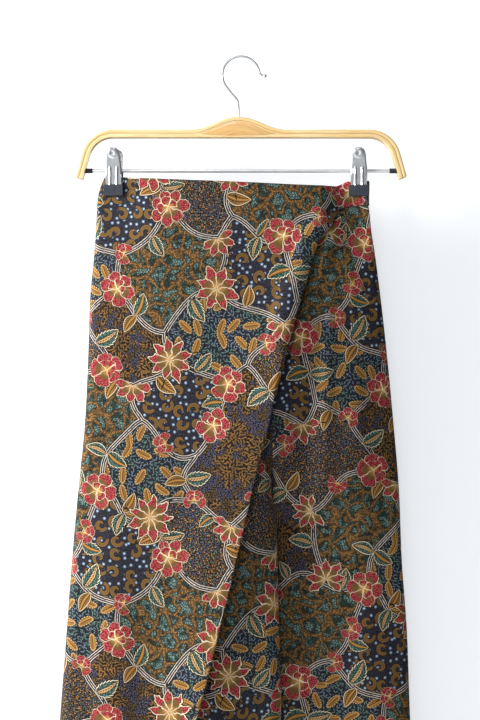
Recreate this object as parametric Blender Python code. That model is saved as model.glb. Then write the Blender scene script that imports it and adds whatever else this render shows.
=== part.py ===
"""Batik wrap pants hung from the two clips of a bent-wood hanger.

Metres, +Z up. The origin is the underside of the hook's arc, where a rail or wall hook carries it.
The front faces -Y. Right and left are the wearer's, so the right leg lies at -X. A "drop" is a
distance below the origin, and every cloth piece is a thin wall through level sections at its drops.
Tables hold millimetres, and their last row is the hem.
"""
import bisect
import math

import bmesh
import bpy
from mathutils import Matrix, Vector

MM = 0.001

# Cloth walls and the gaps between them
CLOTH = 1.2 * MM
BAND_CLOTH = 1.6 * MM
SEAM_GAP = 0.3 * MM
WRAP_CLEARANCE = 0.8 * MM

# Main levels of the garment
LEVEL_BY = 260 * MM
DIP_START = 445 * MM
CROTCH = 521 * MM

# The clips, and how they pinch the waist
CLIP_X = {"right": -151.7 * MM, "left": 141.6 * MM}
CLIP_TURN = math.radians(8)
PINCH_HALF = 2.0 * MM
PINCH_FLAT = 15 * MM
PINCH_FADE = 50 * MM
PINCH_DEEP = 176 * MM
PINCH_GONE = 260 * MM
PINCHED_ROLL = 2.2 * MM

# Share of a half section's width taken by its rolled side and its rolled centre edge
ROLL_SHARE = 0.16
ROLL_STEPS = 3
FLAT_STEPS = 9

# How quickly a half swells behind its rolled side, and the share of the front that follows the wrap's edge
SWELL = 2.2
WRAP_SQUEEZE = 0.16

# A step small enough to read a curve's direction from
NUDGE = 0.0005


def smooth(t):
    t = min(max(t, 0.0), 1.0)
    return t * t * (3 - 2 * t)


def mix(a, b, t):
    return a + (b - a) * t


class Table:
    """Rows of sizes in millimetres, read back in metres along a curve that never overshoots."""

    def __init__(self, columns, *rows):
        self.names = columns.split()
        self.columns = {name: [row[i] * MM for row in rows] for i, name in enumerate(self.names)}
        self.places = self.columns[self.names[0]]

    def slope(self, values, i):
        if i == 0 or i == len(values) - 1:
            return 0.0
        before = (values[i] - values[i - 1]) / (self.places[i] - self.places[i - 1])
        after = (values[i + 1] - values[i]) / (self.places[i + 1] - self.places[i])
        return 0.0 if before * after <= 0 else 2 * before * after / (before + after)

    def at(self, column, place):
        values = self.columns[column]
        place = min(max(place, self.places[0]), self.places[-1])
        i = min(bisect.bisect_right(self.places, place), len(values) - 1) - 1
        step = self.places[i + 1] - self.places[i]
        t = (place - self.places[i]) / step
        start, end = self.slope(values, i) * step, self.slope(values, i + 1) * step
        ease = t * t * (3 - 2 * t)
        return mix(values[i], values[i + 1], ease) + t * (1 - t) * ((1 - t) * start - t * end)


# Hanger: two laminations bent over a flat inlay, a steel rod and a wire hook
GLUE_DROP = 92.0 * MM
BEAM_UPPER = 4.8 * MM
BEAM_LOWER = 4.5 * MM
BEAM_DEPTH = 12 * MM
BEAM_STRAIGHT = 153.5 * MM
ARM_RADIUS = 33.5 * MM
ARM_TURN = math.radians(74)
ARM_RUN = 30 * MM
STEM_X = -3.0 * MM
HUMP_RISE = 15.3 * MM
HUMP_HALF = 56 * MM
INLAY_HALF = 46 * MM
INLAY_RISE = 14.6 * MM
INLAY_FLOOR = 2.6 * MM
POCKET_EASE = 12
ROD_DROP = 136.1 * MM
ROD_RADIUS = 2.1 * MM
ROD_HALF = 182 * MM
CAP_RADIUS = 3.0 * MM
CAP_LENGTH = 8 * MM
HOOK_RADIUS = 22.4 * MM
HOOK_WIRE = 1.4 * MM
HOOK_KNOB = 1.5
HOOK_LEAVES = math.radians(215)
HOOK_ENDS = math.radians(5)
HOOK_STEPS = 26
NECK = Table(
    "drop back",
    (40.6, 10.0),
    (46, 5.4),
    (49.5, 2.4),
    (53.5, 0.6),
    (58, 0),
    (63, 0),
)
TIP = Table(
    "x drop",
    (22.9, 20.2),
    (24.4, 21.2),
    (27.0, 21.9),
    (28.0, 22.1),
    (29.4, 22.4),
)

# Clips
PLATE = 1.0 * MM
PLATE_TOP = 108.8 * MM
PLATE_BOTTOM = 153.2 * MM
PLATE_ROUND = 8.1 * MM
PLATE_WIDE = 9.6 * MM
PLATE_LEAN = 6 * MM
TAB_ANGLES = [math.radians(a) for a in (25, 42, 60, 90)]
FLUTE = 0.7 * MM
FLUTE_TOP = 127 * MM
FLUTE_FULL = 131 * MM
FLUTE_SHARE = 0.46
PLATE_SHARES = (-1, -0.7, -FLUTE_SHARE, -0.22, 0, 0.22, FLUTE_SHARE, 0.7, 1)
SLEEVE_RADIUS = 4.2 * MM
SLEEVE_HALF = 4 * MM
SLEEVE_REACH = 5.05 * MM
PAD_WIDTH = 24 * MM
PAD_TOP = 153.5 * MM
PAD_BOTTOM = 166.7 * MM
PAD_THICK = 3.2 * MM
PAD_EDGE = 0.7 * MM

# Where the side seams hang
SIDES = Table(
    "drop right left",
    (141, -161.4, 153.6),
    (155, -166.8, 154.0),
    (171, -170.6, 153.6),
    (202, -172.2, 156.0),
    (238, -174.6, 162.0),
    (291, -179.4, 169.2),
    (363, -181.8, 177.6),
    (435, -185.4, 184.8),
    (521, -193.8, 192.4),
    (603, -201.0, 196.8),
    (699, -208.2, 204.0),
    (794, -215.4, 207.6),
    (1047, -232.0, 219.6),
)

# Centre seams above the crotch, and inseams below it, where the left leg slips behind the right
CENTRE_SEAMS = Table(
    "drop front back",
    (141, 8, -8),
    (300, 25, -4),
    (430, 37, 6),
    (480, 37.2, 20),
    (521, 37.2, 37.2),
)
INSEAMS = Table(
    "drop right left",
    (521, 37.2, 37.2),
    (560, 42.0, 42.6),
    (600, 43.8, 42.0),
    (650, 45.0, 30.0),
    (700, 46.5, 15.0),
    (794, 48.5, -2.0),
    (1047, 52.0, -25.0),
)

# Depth of each half: its middle line at the side and the centre, and how far it stands out there
RIGHT_HALF = Table(
    "drop side_y centre_y side front back crown_front crown_back",
    (141, 0, 0, 5, 13, 12, 0, 0),
    (171, 0, 0, 6, 15, 14, 0, 0),
    (238, 1, 1, 7, 20, 18, 1, 1),
    (363, 2, 2, 8, 24, 22, 2, 2),
    (480, 3, 5, 8, 24, 22, 3, 4),
    (521, 3, 8, 8, 22, 17, 5, 6),
    (560, 2, 0, 8, 13, 8, 8, 8),
    (620, 1, -3, 8, 10, 8, 10, 9),
    (794, 1, -4, 8, 9, 8, 11, 9),
    (1047, 1, -4, 8, 9, 9, 12, 10),
)
LEFT_HALF = Table(
    "drop side_y centre_y side front back crown_front crown_back",
    (141, 0, 0, 5, 13, 12, 0, 0),
    (171, 0, 0, 6, 15, 14, 0, 0),
    (238, 2, 1, 7, 20, 18, 1, 1),
    (363, 8, 2, 8, 24, 22, 2, 2),
    (480, 13, 5, 8, 24, 22, 2, 4),
    (521, 15, 8, 8, 21, 17, 2, 5),
    (560, 19, 23, 8, 10, 11, 9, 7),
    (620, 25, 26, 8, 9, 10, 11, 8),
    (794, 29, 27, 8, 9, 10, 12, 8),
    (1047, 31, 30, 8, 9, 10, 13, 9),
)
HALVES = {"right": RIGHT_HALF, "left": LEFT_HALF}

# The left leg's middle line comes forward again between these two places
BEHIND_TO = 58 * MM
BEHIND_FROM = 185 * MM

# How far from a seam each half starts to roll
ROLLS = Table(
    "drop side right_front left_front back",
    (141, 4, 8, 8, 8),
    (238, 8, 10, 14, 14),
    (430, 9, 12, 26, 20),
    (521, 9, 12, 24, 18),
    (600, 10, 15, 12, 12),
    (1047, 11, 16, 12, 12),
)

# The waist's top edge, across the front, and the wrap's free edge, down the front
WAIST_EDGE = Table(
    "x top seam",
    (-174, 158, 178.0),
    (-163, 142.5, 176.0),
    (-143, 144.6, 175.5),
    (-13, 150.6, 180.1),
    (112, 155.2, 183.2),
    (131, 148.6, 178.4),
    (154, 148.6, 178.0),
)
WRAP_EDGE = Table(
    "drop x lift curl",
    (150, 112.8, 0.3, 0),
    (187, 112.8, 0.8, 1.0),
    (201, 106.6, 1.0, 3.0),
    (220, 93.6, 1.4, 4.5),
    (263, 79.2, 3.0, 4.5),
    (317, 61.2, 7.0, 2.5),
    (381, 45.6, 9.5, 1.0),
    (445, 31.2, 10.0, 0.5),
    (515, 13.2, 10.0, 0),
    (632, -14.4, 11.0, 0),
    (752, -43.2, 12.0, 0),
    (1047, -107, 14.0, 0),
)
LIFT_REACH = 85 * MM
CURL_REACH = 30 * MM

# Soft folds: where each starts and ends, its place across at both, its half width, how far out
FOLDS = {
    ("right", "front"): Table(
        "start end x_start x_end width out",
        (430, 1250, -149, -158, 36, 3.2),
        (560, 1400, -86, -94, 46, -2.4),
        (640, 1400, -30, -36, 50, 2.6),
        (780, 1500, 18, 20, 30, -2.0),
    ),
    ("left", "front"): Table(
        "start end x_start x_end width out",
        (205, 600, 84, 62, 34, -9.0),
        (240, 480, 99, 97, 16, 2.4),
        (300, 620, 138, 150, 34, 2.2),
        (560, 1400, 120, 112, 34, -2.6),
        (600, 1400, 166, 170, 34, 2.6),
        (760, 1500, 84, 80, 24, 2.2),
    ),
    ("right", "back"): Table(
        "start end x_start x_end width out",
        (200, 560, -96, -110, 40, 2.6),
        (330, 720, -30, -60, 36, -2.4),
        (560, 1400, -150, -166, 40, -3.0),
        (620, 1400, -78, -92, 44, 3.2),
    ),
    ("left", "back"): Table(
        "start end x_start x_end width out",
        (200, 560, 88, 104, 40, 2.6),
        (330, 720, 52, 70, 34, -2.4),
        (600, 1400, 96, 92, 40, 3.0),
        (560, 1400, 158, 172, 36, -3.0),
    ),
}

ROW_DROPS = (181, 200, 225, 255, 290, 330, 370, 405, 435, 460, 480, 497, 510, 521, 533, 548, 566,
             590, 620, 660, 700, 750, 800, 860, 920, 985, 1047)


def pinch(x, drop):
    """How firmly the nearer clip holds the cloth at a place, and that clip's middle line there."""
    clip = min(CLIP_X.values(), key=lambda centre: abs(x - centre))
    across = 1 - smooth((abs(x - clip) - PINCH_FLAT) / (PINCH_FADE - PINCH_FLAT))
    down = 1 - smooth((drop - PINCH_DEEP) / (PINCH_GONE - PINCH_DEEP))
    return across * down, -math.tan(CLIP_TURN) * (x - clip)


def fold_out(half, face, x, drop):
    """The sum of the soft folds at a place, as a distance outwards."""
    rows = FOLDS[half, face].columns
    total = 0.0
    for start, end, x0, x1, width, out in zip(*(rows[name] for name in FOLDS[half, face].names)):
        down = (drop - start) / (end - start)
        if 0 < down < 1:
            across = min(abs(x - mix(x0, x1, down)) / width, 1)
            ends = smooth(down / 0.3) * smooth((1 - down) / 0.3)
            total += out * ends * math.cos(across * math.pi / 2) ** 2
    return total


def seam_x(half, face, drop):
    """The centre seam above the crotch, the inseam below it, half a gap to this half's own side."""
    gap = -SEAM_GAP / 2 if half == "right" else SEAM_GAP / 2
    if drop < CROTCH:
        return CENTRE_SEAMS.at(face, drop) + gap
    return INSEAMS.at(half, drop) + gap


def tuck(drop):
    """0 where the cloth runs flat over the centre seam, 1 where it rolls right round a leg."""
    return math.sin(math.pi / 2 * smooth((drop - DIP_START) / (CROTCH - DIP_START)))


def section(half, face, u, drop):
    """A point of the outer surface: u runs from the side seam, 0, to the centre seam, 1."""
    half_table = HALVES[half]
    side_x = SIDES.at(half, drop)
    inward = 1 if half == "right" else -1
    span = abs(seam_x(half, face, drop) - side_x)
    held, _ = pinch(side_x, drop)
    side_roll = mix(ROLLS.at("side", drop), PINCHED_ROLL, held)
    centre_roll = ROLLS.at("back" if face == "back" else half + "_front", drop)
    tucked = tuck(drop)
    if u < ROLL_SHARE:
        angle = math.pi / 2 * (1 - u / ROLL_SHARE)
        along = side_roll * (1 - math.sin(angle))
    elif u <= 1 - ROLL_SHARE:
        angle = 0.0
        along = mix(side_roll, span - centre_roll, (u - ROLL_SHARE) / (1 - 2 * ROLL_SHARE))
    else:
        share = (u - 1 + ROLL_SHARE) / ROLL_SHARE
        most = math.asin(tucked)
        angle = most * share
        along = span - centre_roll + centre_roll * (math.sin(angle) / tucked if tucked > 0.01 else share)
    x = side_x + inward * along
    s = min(along / span, 1.0)
    if half == "right":
        inner = 1 - (1 - s) ** SWELL
    else:
        inner = smooth((BEHIND_FROM - x) / (BEHIND_FROM - BEHIND_TO))
    middle = mix(half_table.at("side_y", drop), half_table.at("centre_y", drop), inner)
    depth = mix(half_table.at("side", drop), half_table.at(face, drop), 1 - (1 - s) ** SWELL)
    depth += half_table.at("crown_" + face, drop) * math.sin(math.pi * s)
    depth += fold_out(half, face, x, drop)
    held, clip_line = pinch(x, drop)
    middle = mix(middle, clip_line, held)
    depth = mix(depth, PINCH_HALF, held)
    outward = -1 if face == "front" else 1
    return Vector((x, middle + outward * depth * math.cos(angle)))


def skin(half, face, u, drop, out):
    """A point of the wall, a distance out from the outer surface, clear of the seams by half a gap."""
    place = section(half, face, u, drop)
    ahead = section(half, face, min(u + NUDGE, 1), drop)
    behind = section(half, face, max(u - NUDGE, 0), drop)
    run = (ahead - behind).normalized()
    turn = 1 if (half == "right") == (face == "front") else -1
    normal = Vector((run.y, -run.x)) * turn
    if u == 0:
        place += run * SEAM_GAP / 2
    elif u == 1:
        place -= run * SEAM_GAP / 2 * tuck(drop)
    place += normal * out
    return Vector((place.x, place.y, -drop))


def across_steps():
    """Places across a half panel: the rolled side, the flat, then the rolled centre edge."""
    side = [ROLL_SHARE * i / ROLL_STEPS for i in range(ROLL_STEPS)]
    flat = [mix(ROLL_SHARE, 1 - ROLL_SHARE, i / FLAT_STEPS) for i in range(FLAT_STEPS)]
    centre = [1 - ROLL_SHARE + ROLL_SHARE * i / ROLL_STEPS for i in range(ROLL_STEPS + 1)]
    return side + flat + centre[:-1] + [1]


def material(name, colour, roughness, metallic=0.0):
    made = bpy.data.materials.new(name)
    made.use_nodes = True
    shader = made.node_tree.nodes["Principled BSDF"]
    shader.inputs["Base Color"].default_value = (*colour, 1)
    shader.inputs["Roughness"].default_value = roughness
    shader.inputs["Metallic"].default_value = metallic
    return made


def keep(name, bm, finish, sharp=35):
    """Turn a bmesh into a named object, with its faces outwards and its round parts smooth."""
    bmesh.ops.recalc_face_normals(bm, faces=bm.faces)
    mesh = bpy.data.meshes.new(name)
    bm.to_mesh(mesh)
    bm.free()
    mesh.shade_smooth()
    mesh.set_sharp_from_angle(angle=math.radians(sharp))
    mesh.materials.append(finish)
    made = bpy.data.objects.new(name, mesh)
    bpy.context.scene.collection.objects.link(made)
    return made


def wall(name, outer, inner, finish):
    """A closed wall between two grids of points that face each other."""
    bm = bmesh.new()
    front = [[bm.verts.new(point) for point in row] for row in outer]
    back = [[bm.verts.new(point) for point in row] for row in inner]
    rows, columns = len(front), len(front[0])
    for i in range(rows - 1):
        for j in range(columns - 1):
            bm.faces.new((front[i][j], front[i + 1][j], front[i + 1][j + 1], front[i][j + 1]))
            bm.faces.new((back[i][j], back[i][j + 1], back[i + 1][j + 1], back[i + 1][j]))
    rim = [(0, j) for j in range(columns)] + [(i, columns - 1) for i in range(1, rows)]
    rim += [(rows - 1, j) for j in range(columns - 2, -1, -1)] + [(i, 0) for i in range(rows - 2, 0, -1)]
    for (i, j), (m, n) in zip(rim, rim[1:] + rim[:1]):
        bm.faces.new((front[i][j], front[m][n], back[m][n], back[i][j]))
    return keep(name, bm, finish)


def panel(half, face, finish):
    """One leg piece, from under the waistband to the hem."""
    outer, inner = [], []
    for level in ROW_DROPS:
        level *= MM
        fade = 1 - smooth((level - ROW_DROPS[0] * MM) / (LEVEL_BY - ROW_DROPS[0] * MM))
        outer.append([])
        inner.append([])
        for u in across_steps():
            x = section(half, face, u, level).x
            shift = WAIST_EDGE.at("seam", x) + SEAM_GAP - ROW_DROPS[0] * MM
            drop = level + shift * fade
            outer[-1].append(skin(half, face, u, drop, 0))
            inner[-1].append(skin(half, face, u, drop, -CLOTH))
    return wall(face + "_" + half, outer, inner, finish)


def waistband(face, finish):
    """One band from side seam to side seam, above the two leg pieces of that face."""
    outer, inner = [], []
    for share in (0, 0.5, 1):
        outer.append([])
        inner.append([])
        half_steps = across_steps()
        places = [("right", u) for u in half_steps[:-1]] + [("left", u) for u in reversed(half_steps)]
        for half, u in places:
            x = section(half, face, u, ROW_DROPS[0] * MM).x
            drop = mix(WAIST_EDGE.at("top", x), WAIST_EDGE.at("seam", x), share)
            outer[-1].append(skin(half, face, u, drop, 0))
            inner[-1].append(skin(half, face, u, drop, -BAND_CLOTH))
    return wall("waistband_" + face, outer, inner, finish)


def front_place(a):
    """A place across the whole front, from the right side seam, 0, to the left one, 2."""
    return ("right", a) if a <= 1 else ("left", 2 - a)


def across_to(x, drop):
    """The place across the front that lies at x."""
    low, high = 0.0, 2.0
    for _ in range(40):
        middle = (low + high) / 2
        half, u = front_place(middle)
        if section(half, "front", u, drop).x < x:
            low = middle
        else:
            high = middle
    return (low + high) / 2


def wrap_lift(x, drop):
    """How far the wrap stands off the pants: its free edge lifts, and higher up it rolls under."""
    away = WRAP_EDGE.at("x", drop) - x
    lift = WRAP_EDGE.at("lift", drop) * smooth(1 - away / LIFT_REACH)
    roll = WRAP_EDGE.at("curl", drop) * math.sin(math.pi * min(max(away / CURL_REACH, 0), 1))
    held, _ = pinch(x, drop)
    return WRAP_CLEARANCE + (lift + roll) * (1 - held)


def wrap_panel(finish):
    """The wrap: the pants' own front, moved out, from the right side seam to the free edge."""
    outer, inner = [], []
    top = WAIST_EDGE.at("top", 0)
    half_steps = across_steps()[:-ROLL_STEPS]
    last = across_to(WRAP_EDGE.at("x", top), top)
    across = half_steps + [2 - u for u in reversed(half_steps) if 2 - u < last] + [last]
    levels = [top, 160 * MM, 170 * MM] + [level * MM for level in ROW_DROPS]
    for level in levels:
        fade = 1 - smooth((level - top) / (LEVEL_BY - top))
        end = across_to(WRAP_EDGE.at("x", level), level)
        near = end - WRAP_SQUEEZE
        squeeze = WRAP_SQUEEZE / (last - near)
        outer.append([])
        inner.append([])
        for a in across:
            a = a if a < near else near + (a - near) * squeeze
            half, u = front_place(a)
            x = section(half, "front", u, level).x
            drop = level + (WAIST_EDGE.at("top", x) - top) * fade
            off = wrap_lift(x, drop)
            outer[-1].append(skin(half, "front", u, drop, off + CLOTH))
            inner[-1].append(skin(half, "front", u, drop, off))
    return wall("wrap_panel", outer, inner, finish)


def hump(x):
    """How far the bent laminations rise over the inlay."""
    away = abs(x - STEM_X) / HUMP_HALF
    return HUMP_RISE * math.cos(away * math.pi / 2) ** 2 if away < 1 else 0.0


def beam_path():
    """The glue line, from the right arm's tip to the left one's, as (point, outward direction)."""
    stations = []
    bend = [ARM_TURN * i / 8 for i in range(8)]
    for side in (-1, 1):
        arm = []
        for angle in reversed(bend):
            centre = Vector((side * BEAM_STRAIGHT, -GLUE_DROP - ARM_RADIUS))
            out = Vector((side * math.sin(angle), math.cos(angle)))
            arm.append((centre + out * ARM_RADIUS, out))
        out = Vector((side * math.sin(ARM_TURN), math.cos(ARM_TURN)))
        bend_end = Vector((side * BEAM_STRAIGHT, -GLUE_DROP - ARM_RADIUS)) + out * ARM_RADIUS
        down = Vector((side * math.cos(ARM_TURN), -math.sin(ARM_TURN)))
        arm.insert(0, (bend_end, out))
        arm.insert(0, (bend_end + down * ARM_RUN, out))
        if side < 0:
            stations += arm
            for i in range(17):
                x = STEM_X + HUMP_HALF * (i / 8 - 1)
                rise = (hump(x + NUDGE) - hump(x - NUDGE)) / (2 * NUDGE)
                stations.append((Vector((x, hump(x) - GLUE_DROP)), Vector((-rise, 1)).normalized()))
        else:
            stations += reversed(arm)
    return stations


def beam_strip(name, near, far, finish, straight_floor=None):
    """A lamination between two distances from the glue line, as deep as the beam."""
    line = []
    for point, out in beam_path():
        low = point + out * near
        if straight_floor is not None and hump(point.x) > 0:
            low = Vector((point.x, straight_floor))
        line.append((low, point + out * far))
    half = BEAM_DEPTH / 2
    outer = [[Vector((high.x, y, high.y)) for y in (-half, half)] for _, high in line]
    inner = [[Vector((low.x, y, low.y)) for y in (-half, half)] for low, _ in line]
    return wall(name, outer, inner, finish)


def lens(name, gap, finish):
    """The inlay's outline, a straight floor under a low crown, grown by a gap, more at its ends."""
    floor = -GLUE_DROP - INLAY_FLOOR - gap
    bm = bmesh.new()
    depth = BEAM_DEPTH / 2 + (BEAM_DEPTH if gap else 0)
    half = INLAY_HALF + POCKET_EASE * gap
    steps = 18
    xs = [STEM_X - half * math.cos(math.pi * i / steps) for i in range(steps + 1)]
    rise = INLAY_RISE + 2 * gap
    crown = [floor + rise * math.cos((x - STEM_X) / half * math.pi / 2) ** 1.5 for x in xs[1:-1]]
    outline = [(xs[0], floor)] + list(zip(xs[1:-1], crown)) + [(xs[-1], floor)]
    verts = [bm.verts.new((x, -depth, z)) for x, z in outline]
    face = bm.faces.new(verts)
    grown = bmesh.ops.extrude_face_region(bm, geom=[face])
    moved = [item for item in grown["geom"] if isinstance(item, bmesh.types.BMVert)]
    bmesh.ops.translate(bm, verts=moved, vec=(0, 2 * depth, 0))
    return keep(name, bm, finish)


def beam(wood, inlay_wood):
    beam_strip("hanger_beam_top", SEAM_GAP / 2, BEAM_UPPER, wood)
    under = beam_strip("hanger_beam_under", -BEAM_LOWER, -SEAM_GAP / 2, wood, -GLUE_DROP - BEAM_LOWER)
    lens("hanger_inlay", 0, inlay_wood)
    cutter = lens("inlay_cutter", SEAM_GAP, inlay_wood)
    cutter.hide_render = True
    cutter.display_type = "WIRE"
    cut = under.modifiers.new("inlay pocket", "BOOLEAN")
    cut.operation = "DIFFERENCE"
    cut.object = cutter


def turned(name, profile, finish, sides=16, cut_face=None):
    """A solid turned about the X axis from a closed outline of (x, radius)."""
    bm = bmesh.new()
    verts = [bm.verts.new((x, 0, radius)) for x, radius in profile]
    edges = [bm.edges.new(pair) for pair in zip(verts, verts[1:])]
    if profile[0][1] > 0:
        edges.append(bm.edges.new((verts[-1], verts[0])))
    bmesh.ops.spin(bm, geom=verts + edges, axis=(1, 0, 0), cent=(0, 0, 0), steps=sides,
                   angle=2 * math.pi, use_merge=True)
    bmesh.ops.remove_doubles(bm, verts=bm.verts, dist=0.00001)
    if cut_face:
        point, direction = cut_face
        bmesh.ops.recalc_face_normals(bm, faces=bm.faces)
        cut = bmesh.ops.bisect_plane(bm, geom=bm.verts[:] + bm.edges[:] + bm.faces[:], dist=0.000001,
                                     plane_co=point, plane_no=direction, clear_outer=True)
        edges = [item for item in cut["geom_cut"] if isinstance(item, bmesh.types.BMEdge)]
        bmesh.ops.contextual_create(bm, geom=edges)
    bmesh.ops.translate(bm, verts=bm.verts, vec=(0, 0, -ROD_DROP))
    return keep(name, bm, finish)


def rod(steel, plastic):
    turned("hanger_rod", [(-ROD_HALF, 0), (-ROD_HALF, ROD_RADIUS), (ROD_HALF, ROD_RADIUS), (ROD_HALF, 0)],
           steel)
    tip = BEAM_STRAIGHT + ARM_RADIUS * math.sin(ARM_TURN)
    tip_drop = GLUE_DROP + ARM_RADIUS * (1 - math.cos(ARM_TURN))
    face_out = Vector((math.sin(ARM_TURN), 0, math.cos(ARM_TURN)))
    on_face = Vector((tip, 0, ROD_DROP - tip_drop)) - face_out * (BEAM_LOWER + SEAM_GAP)
    for side, name in ((-1, "rod_cap_right"), (1, "rod_cap_left")):
        bore = ROD_RADIUS + SEAM_GAP
        floor = ROD_HALF + SEAM_GAP
        mouth = ROD_HALF + 4 * MM - CAP_LENGTH
        far = ROD_HALF + 12 * MM
        profile = [(floor, 0), (floor, bore), (mouth, bore), (mouth, CAP_RADIUS), (far, CAP_RADIUS), (far, 0)]
        profile = [(side * x, radius) for x, radius in profile]
        flip = Vector((side, 1, 1))
        turned(name, profile, plastic, cut_face=(on_face * flip, face_out * flip))


def hook(steel):
    """The wire: up from the beam, across to the arc's left, over the top and out at the tip."""
    top_of_beam = -GLUE_DROP + HUMP_RISE + BEAM_UPPER + SEAM_GAP
    centre = Vector((0, HOOK_WIRE - HOOK_RADIUS))
    neck = list(zip(NECK.columns["drop"], NECK.columns["back"]))
    route = [Vector((STEM_X, top_of_beam))]
    route += [Vector((STEM_X - back, -drop)) for drop, back in reversed(neck)]
    for i in range(HOOK_STEPS + 1):
        angle = mix(HOOK_LEAVES, HOOK_ENDS, i / HOOK_STEPS)
        route.append(centre + HOOK_RADIUS * Vector((math.cos(angle), math.sin(angle))))
    route += [Vector((x, -drop)) for x, drop in zip(TIP.columns["x"], TIP.columns["drop"])]
    wire = bpy.data.curves.new("hanger_hook", "CURVE")
    wire.dimensions = "3D"
    wire.bevel_depth = HOOK_WIRE
    wire.bevel_resolution = 2
    wire.use_fill_caps = True
    spline = wire.splines.new("POLY")
    spline.points.add(len(route) - 1)
    for i, (point, place) in enumerate(zip(spline.points, route)):
        point.co = (place.x, 0, place.y, 1)
        point.radius = HOOK_KNOB if i >= len(route) - 2 else 1.0
    wire.materials.append(steel)
    made = bpy.data.objects.new("hanger_hook", wire)
    bpy.context.scene.collection.objects.link(made)


def stand(made, clip_x):
    """Turn a piece made about the clip's own middle to the clip's angle, and set it on the rod."""
    made.data.transform(Matrix.Translation((clip_x, 0, 0)) @ Matrix.Rotation(-CLIP_TURN, 4, "Z"))


def plate(name, clip_x, jaw, facing, steel):
    """A pressed jaw plate: a round finger tab leaning out, and two flutes down to the pad."""
    tab = [(PLATE_TOP + PLATE_ROUND * (1 - math.cos(a)), PLATE_ROUND * math.sin(a)) for a in TAB_ANGLES]
    tab_end = tab[-1][0]
    rows = list(tab)
    for drop in (FLUTE_TOP, FLUTE_FULL, ROD_DROP, (ROD_DROP + PLATE_BOTTOM) / 2, PLATE_BOTTOM):
        rows.append((drop, mix(PLATE_ROUND, PLATE_WIDE, smooth((drop - tab_end) / (ROD_DROP - tab_end)))))
    outer, inner = [], []
    for drop, wide in rows:
        off = SLEEVE_REACH + PLATE_LEAN * max(FLUTE_FULL - drop, 0) / (FLUTE_FULL - PLATE_TOP)
        if drop > ROD_DROP:
            off = mix(SLEEVE_REACH, jaw, smooth((drop - ROD_DROP) / (PLATE_BOTTOM - ROD_DROP)))
        pressed = FLUTE * smooth((drop - FLUTE_TOP) / (FLUTE_FULL - FLUTE_TOP))
        outer.append([])
        inner.append([])
        for share in PLATE_SHARES:
            rib = pressed if abs(share) == FLUTE_SHARE else 0
            outer[-1].append(Vector((share * wide, facing * (off + rib + PLATE), -drop)))
            inner[-1].append(Vector((share * wide, facing * (off + rib), -drop)))
    stand(wall(name, outer, inner, steel), clip_x)


def pad(name, clip_x, jaw, facing, rubber):
    """The rubber block on a jaw's end, flat against the cloth."""
    bm = bmesh.new()
    bmesh.ops.create_cube(bm, size=1)
    bmesh.ops.scale(bm, verts=bm.verts, vec=(PAD_WIDTH, PAD_THICK, PAD_BOTTOM - PAD_TOP))
    bmesh.ops.bevel(bm, geom=bm.edges[:], offset=PAD_EDGE, segments=2, profile=0.5, affect="EDGES",
                    material=-1)
    place = (0, facing * (jaw + PAD_THICK / 2), -(PAD_TOP + PAD_BOTTOM) / 2)
    bmesh.ops.translate(bm, verts=bm.verts, vec=place)
    stand(keep(name, bm, rubber), clip_x)


def clip(side, steel, rubber):
    clip_x = CLIP_X[side]
    layers = WRAP_CLEARANCE + CLOTH if side == "right" else 0
    for face, facing, stack in (("front", -1, PINCH_HALF + layers), ("back", 1, PINCH_HALF)):
        jaw = stack + SEAM_GAP
        plate("clip_" + face + "_plate_" + side, clip_x, jaw + (PAD_THICK - PLATE) / 2, facing, steel)
        pad("clip_" + face + "_pad_" + side, clip_x, jaw, facing, rubber)
    bore = ROD_RADIUS + SEAM_GAP
    made = turned("clip_sleeve_" + side, [(-SLEEVE_HALF, bore), (-SLEEVE_HALF, SLEEVE_RADIUS),
                                          (SLEEVE_HALF, SLEEVE_RADIUS), (SLEEVE_HALF, bore)], steel)
    made.data.transform(Matrix.Translation((clip_x, 0, 0)))


def main():
    for old in list(bpy.data.objects):
        bpy.data.objects.remove(old)
    print_cloth = material("batik_cotton", (0.16, 0.13, 0.12), 0.85)
    wood = material("bent_wood", (0.86, 0.66, 0.40), 0.45)
    inlay_wood = material("inlay_wood", (0.80, 0.55, 0.28), 0.45)
    steel = material("hanger_steel", (0.70, 0.72, 0.74), 0.25, 1.0)
    plastic = material("cap_plastic", (0.03, 0.035, 0.05), 0.5)
    rubber = material("pad_rubber", (0.04, 0.05, 0.09), 0.7)
    for half in ("right", "left"):
        for face in ("front", "back"):
            panel(half, face, print_cloth)
    for face in ("front", "back"):
        waistband(face, print_cloth)
    wrap_panel(print_cloth)
    beam(wood, inlay_wood)
    rod(steel, plastic)
    hook(steel)
    for side in ("right", "left"):
        clip(side, steel, rubber)


main()
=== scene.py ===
# %% [markdown]
# # Batik wrap pants on a bent-wood clip hanger
#
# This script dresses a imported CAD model: it keeps the model's sizes and gives every surface its looks.
# The pants are printed cotton, hung flat by the waist, with a wrap panel crossing the front. The hanger
# is two strips of bent wood glued over an inlay, with a steel rod, two spring clips and a wire hook.
#
# Lengths are metres, +Z is up and the front faces -Y. The origin is the underside of the hook's arc. A
# "drop" is a distance below it. Right and left are the wearer's, so the right leg lies at -X.

# %% Load the frame
import math
from functools import partialmethod

import bmesh
import bpy
import numpy as np
from mathutils import Matrix, Vector


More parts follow.
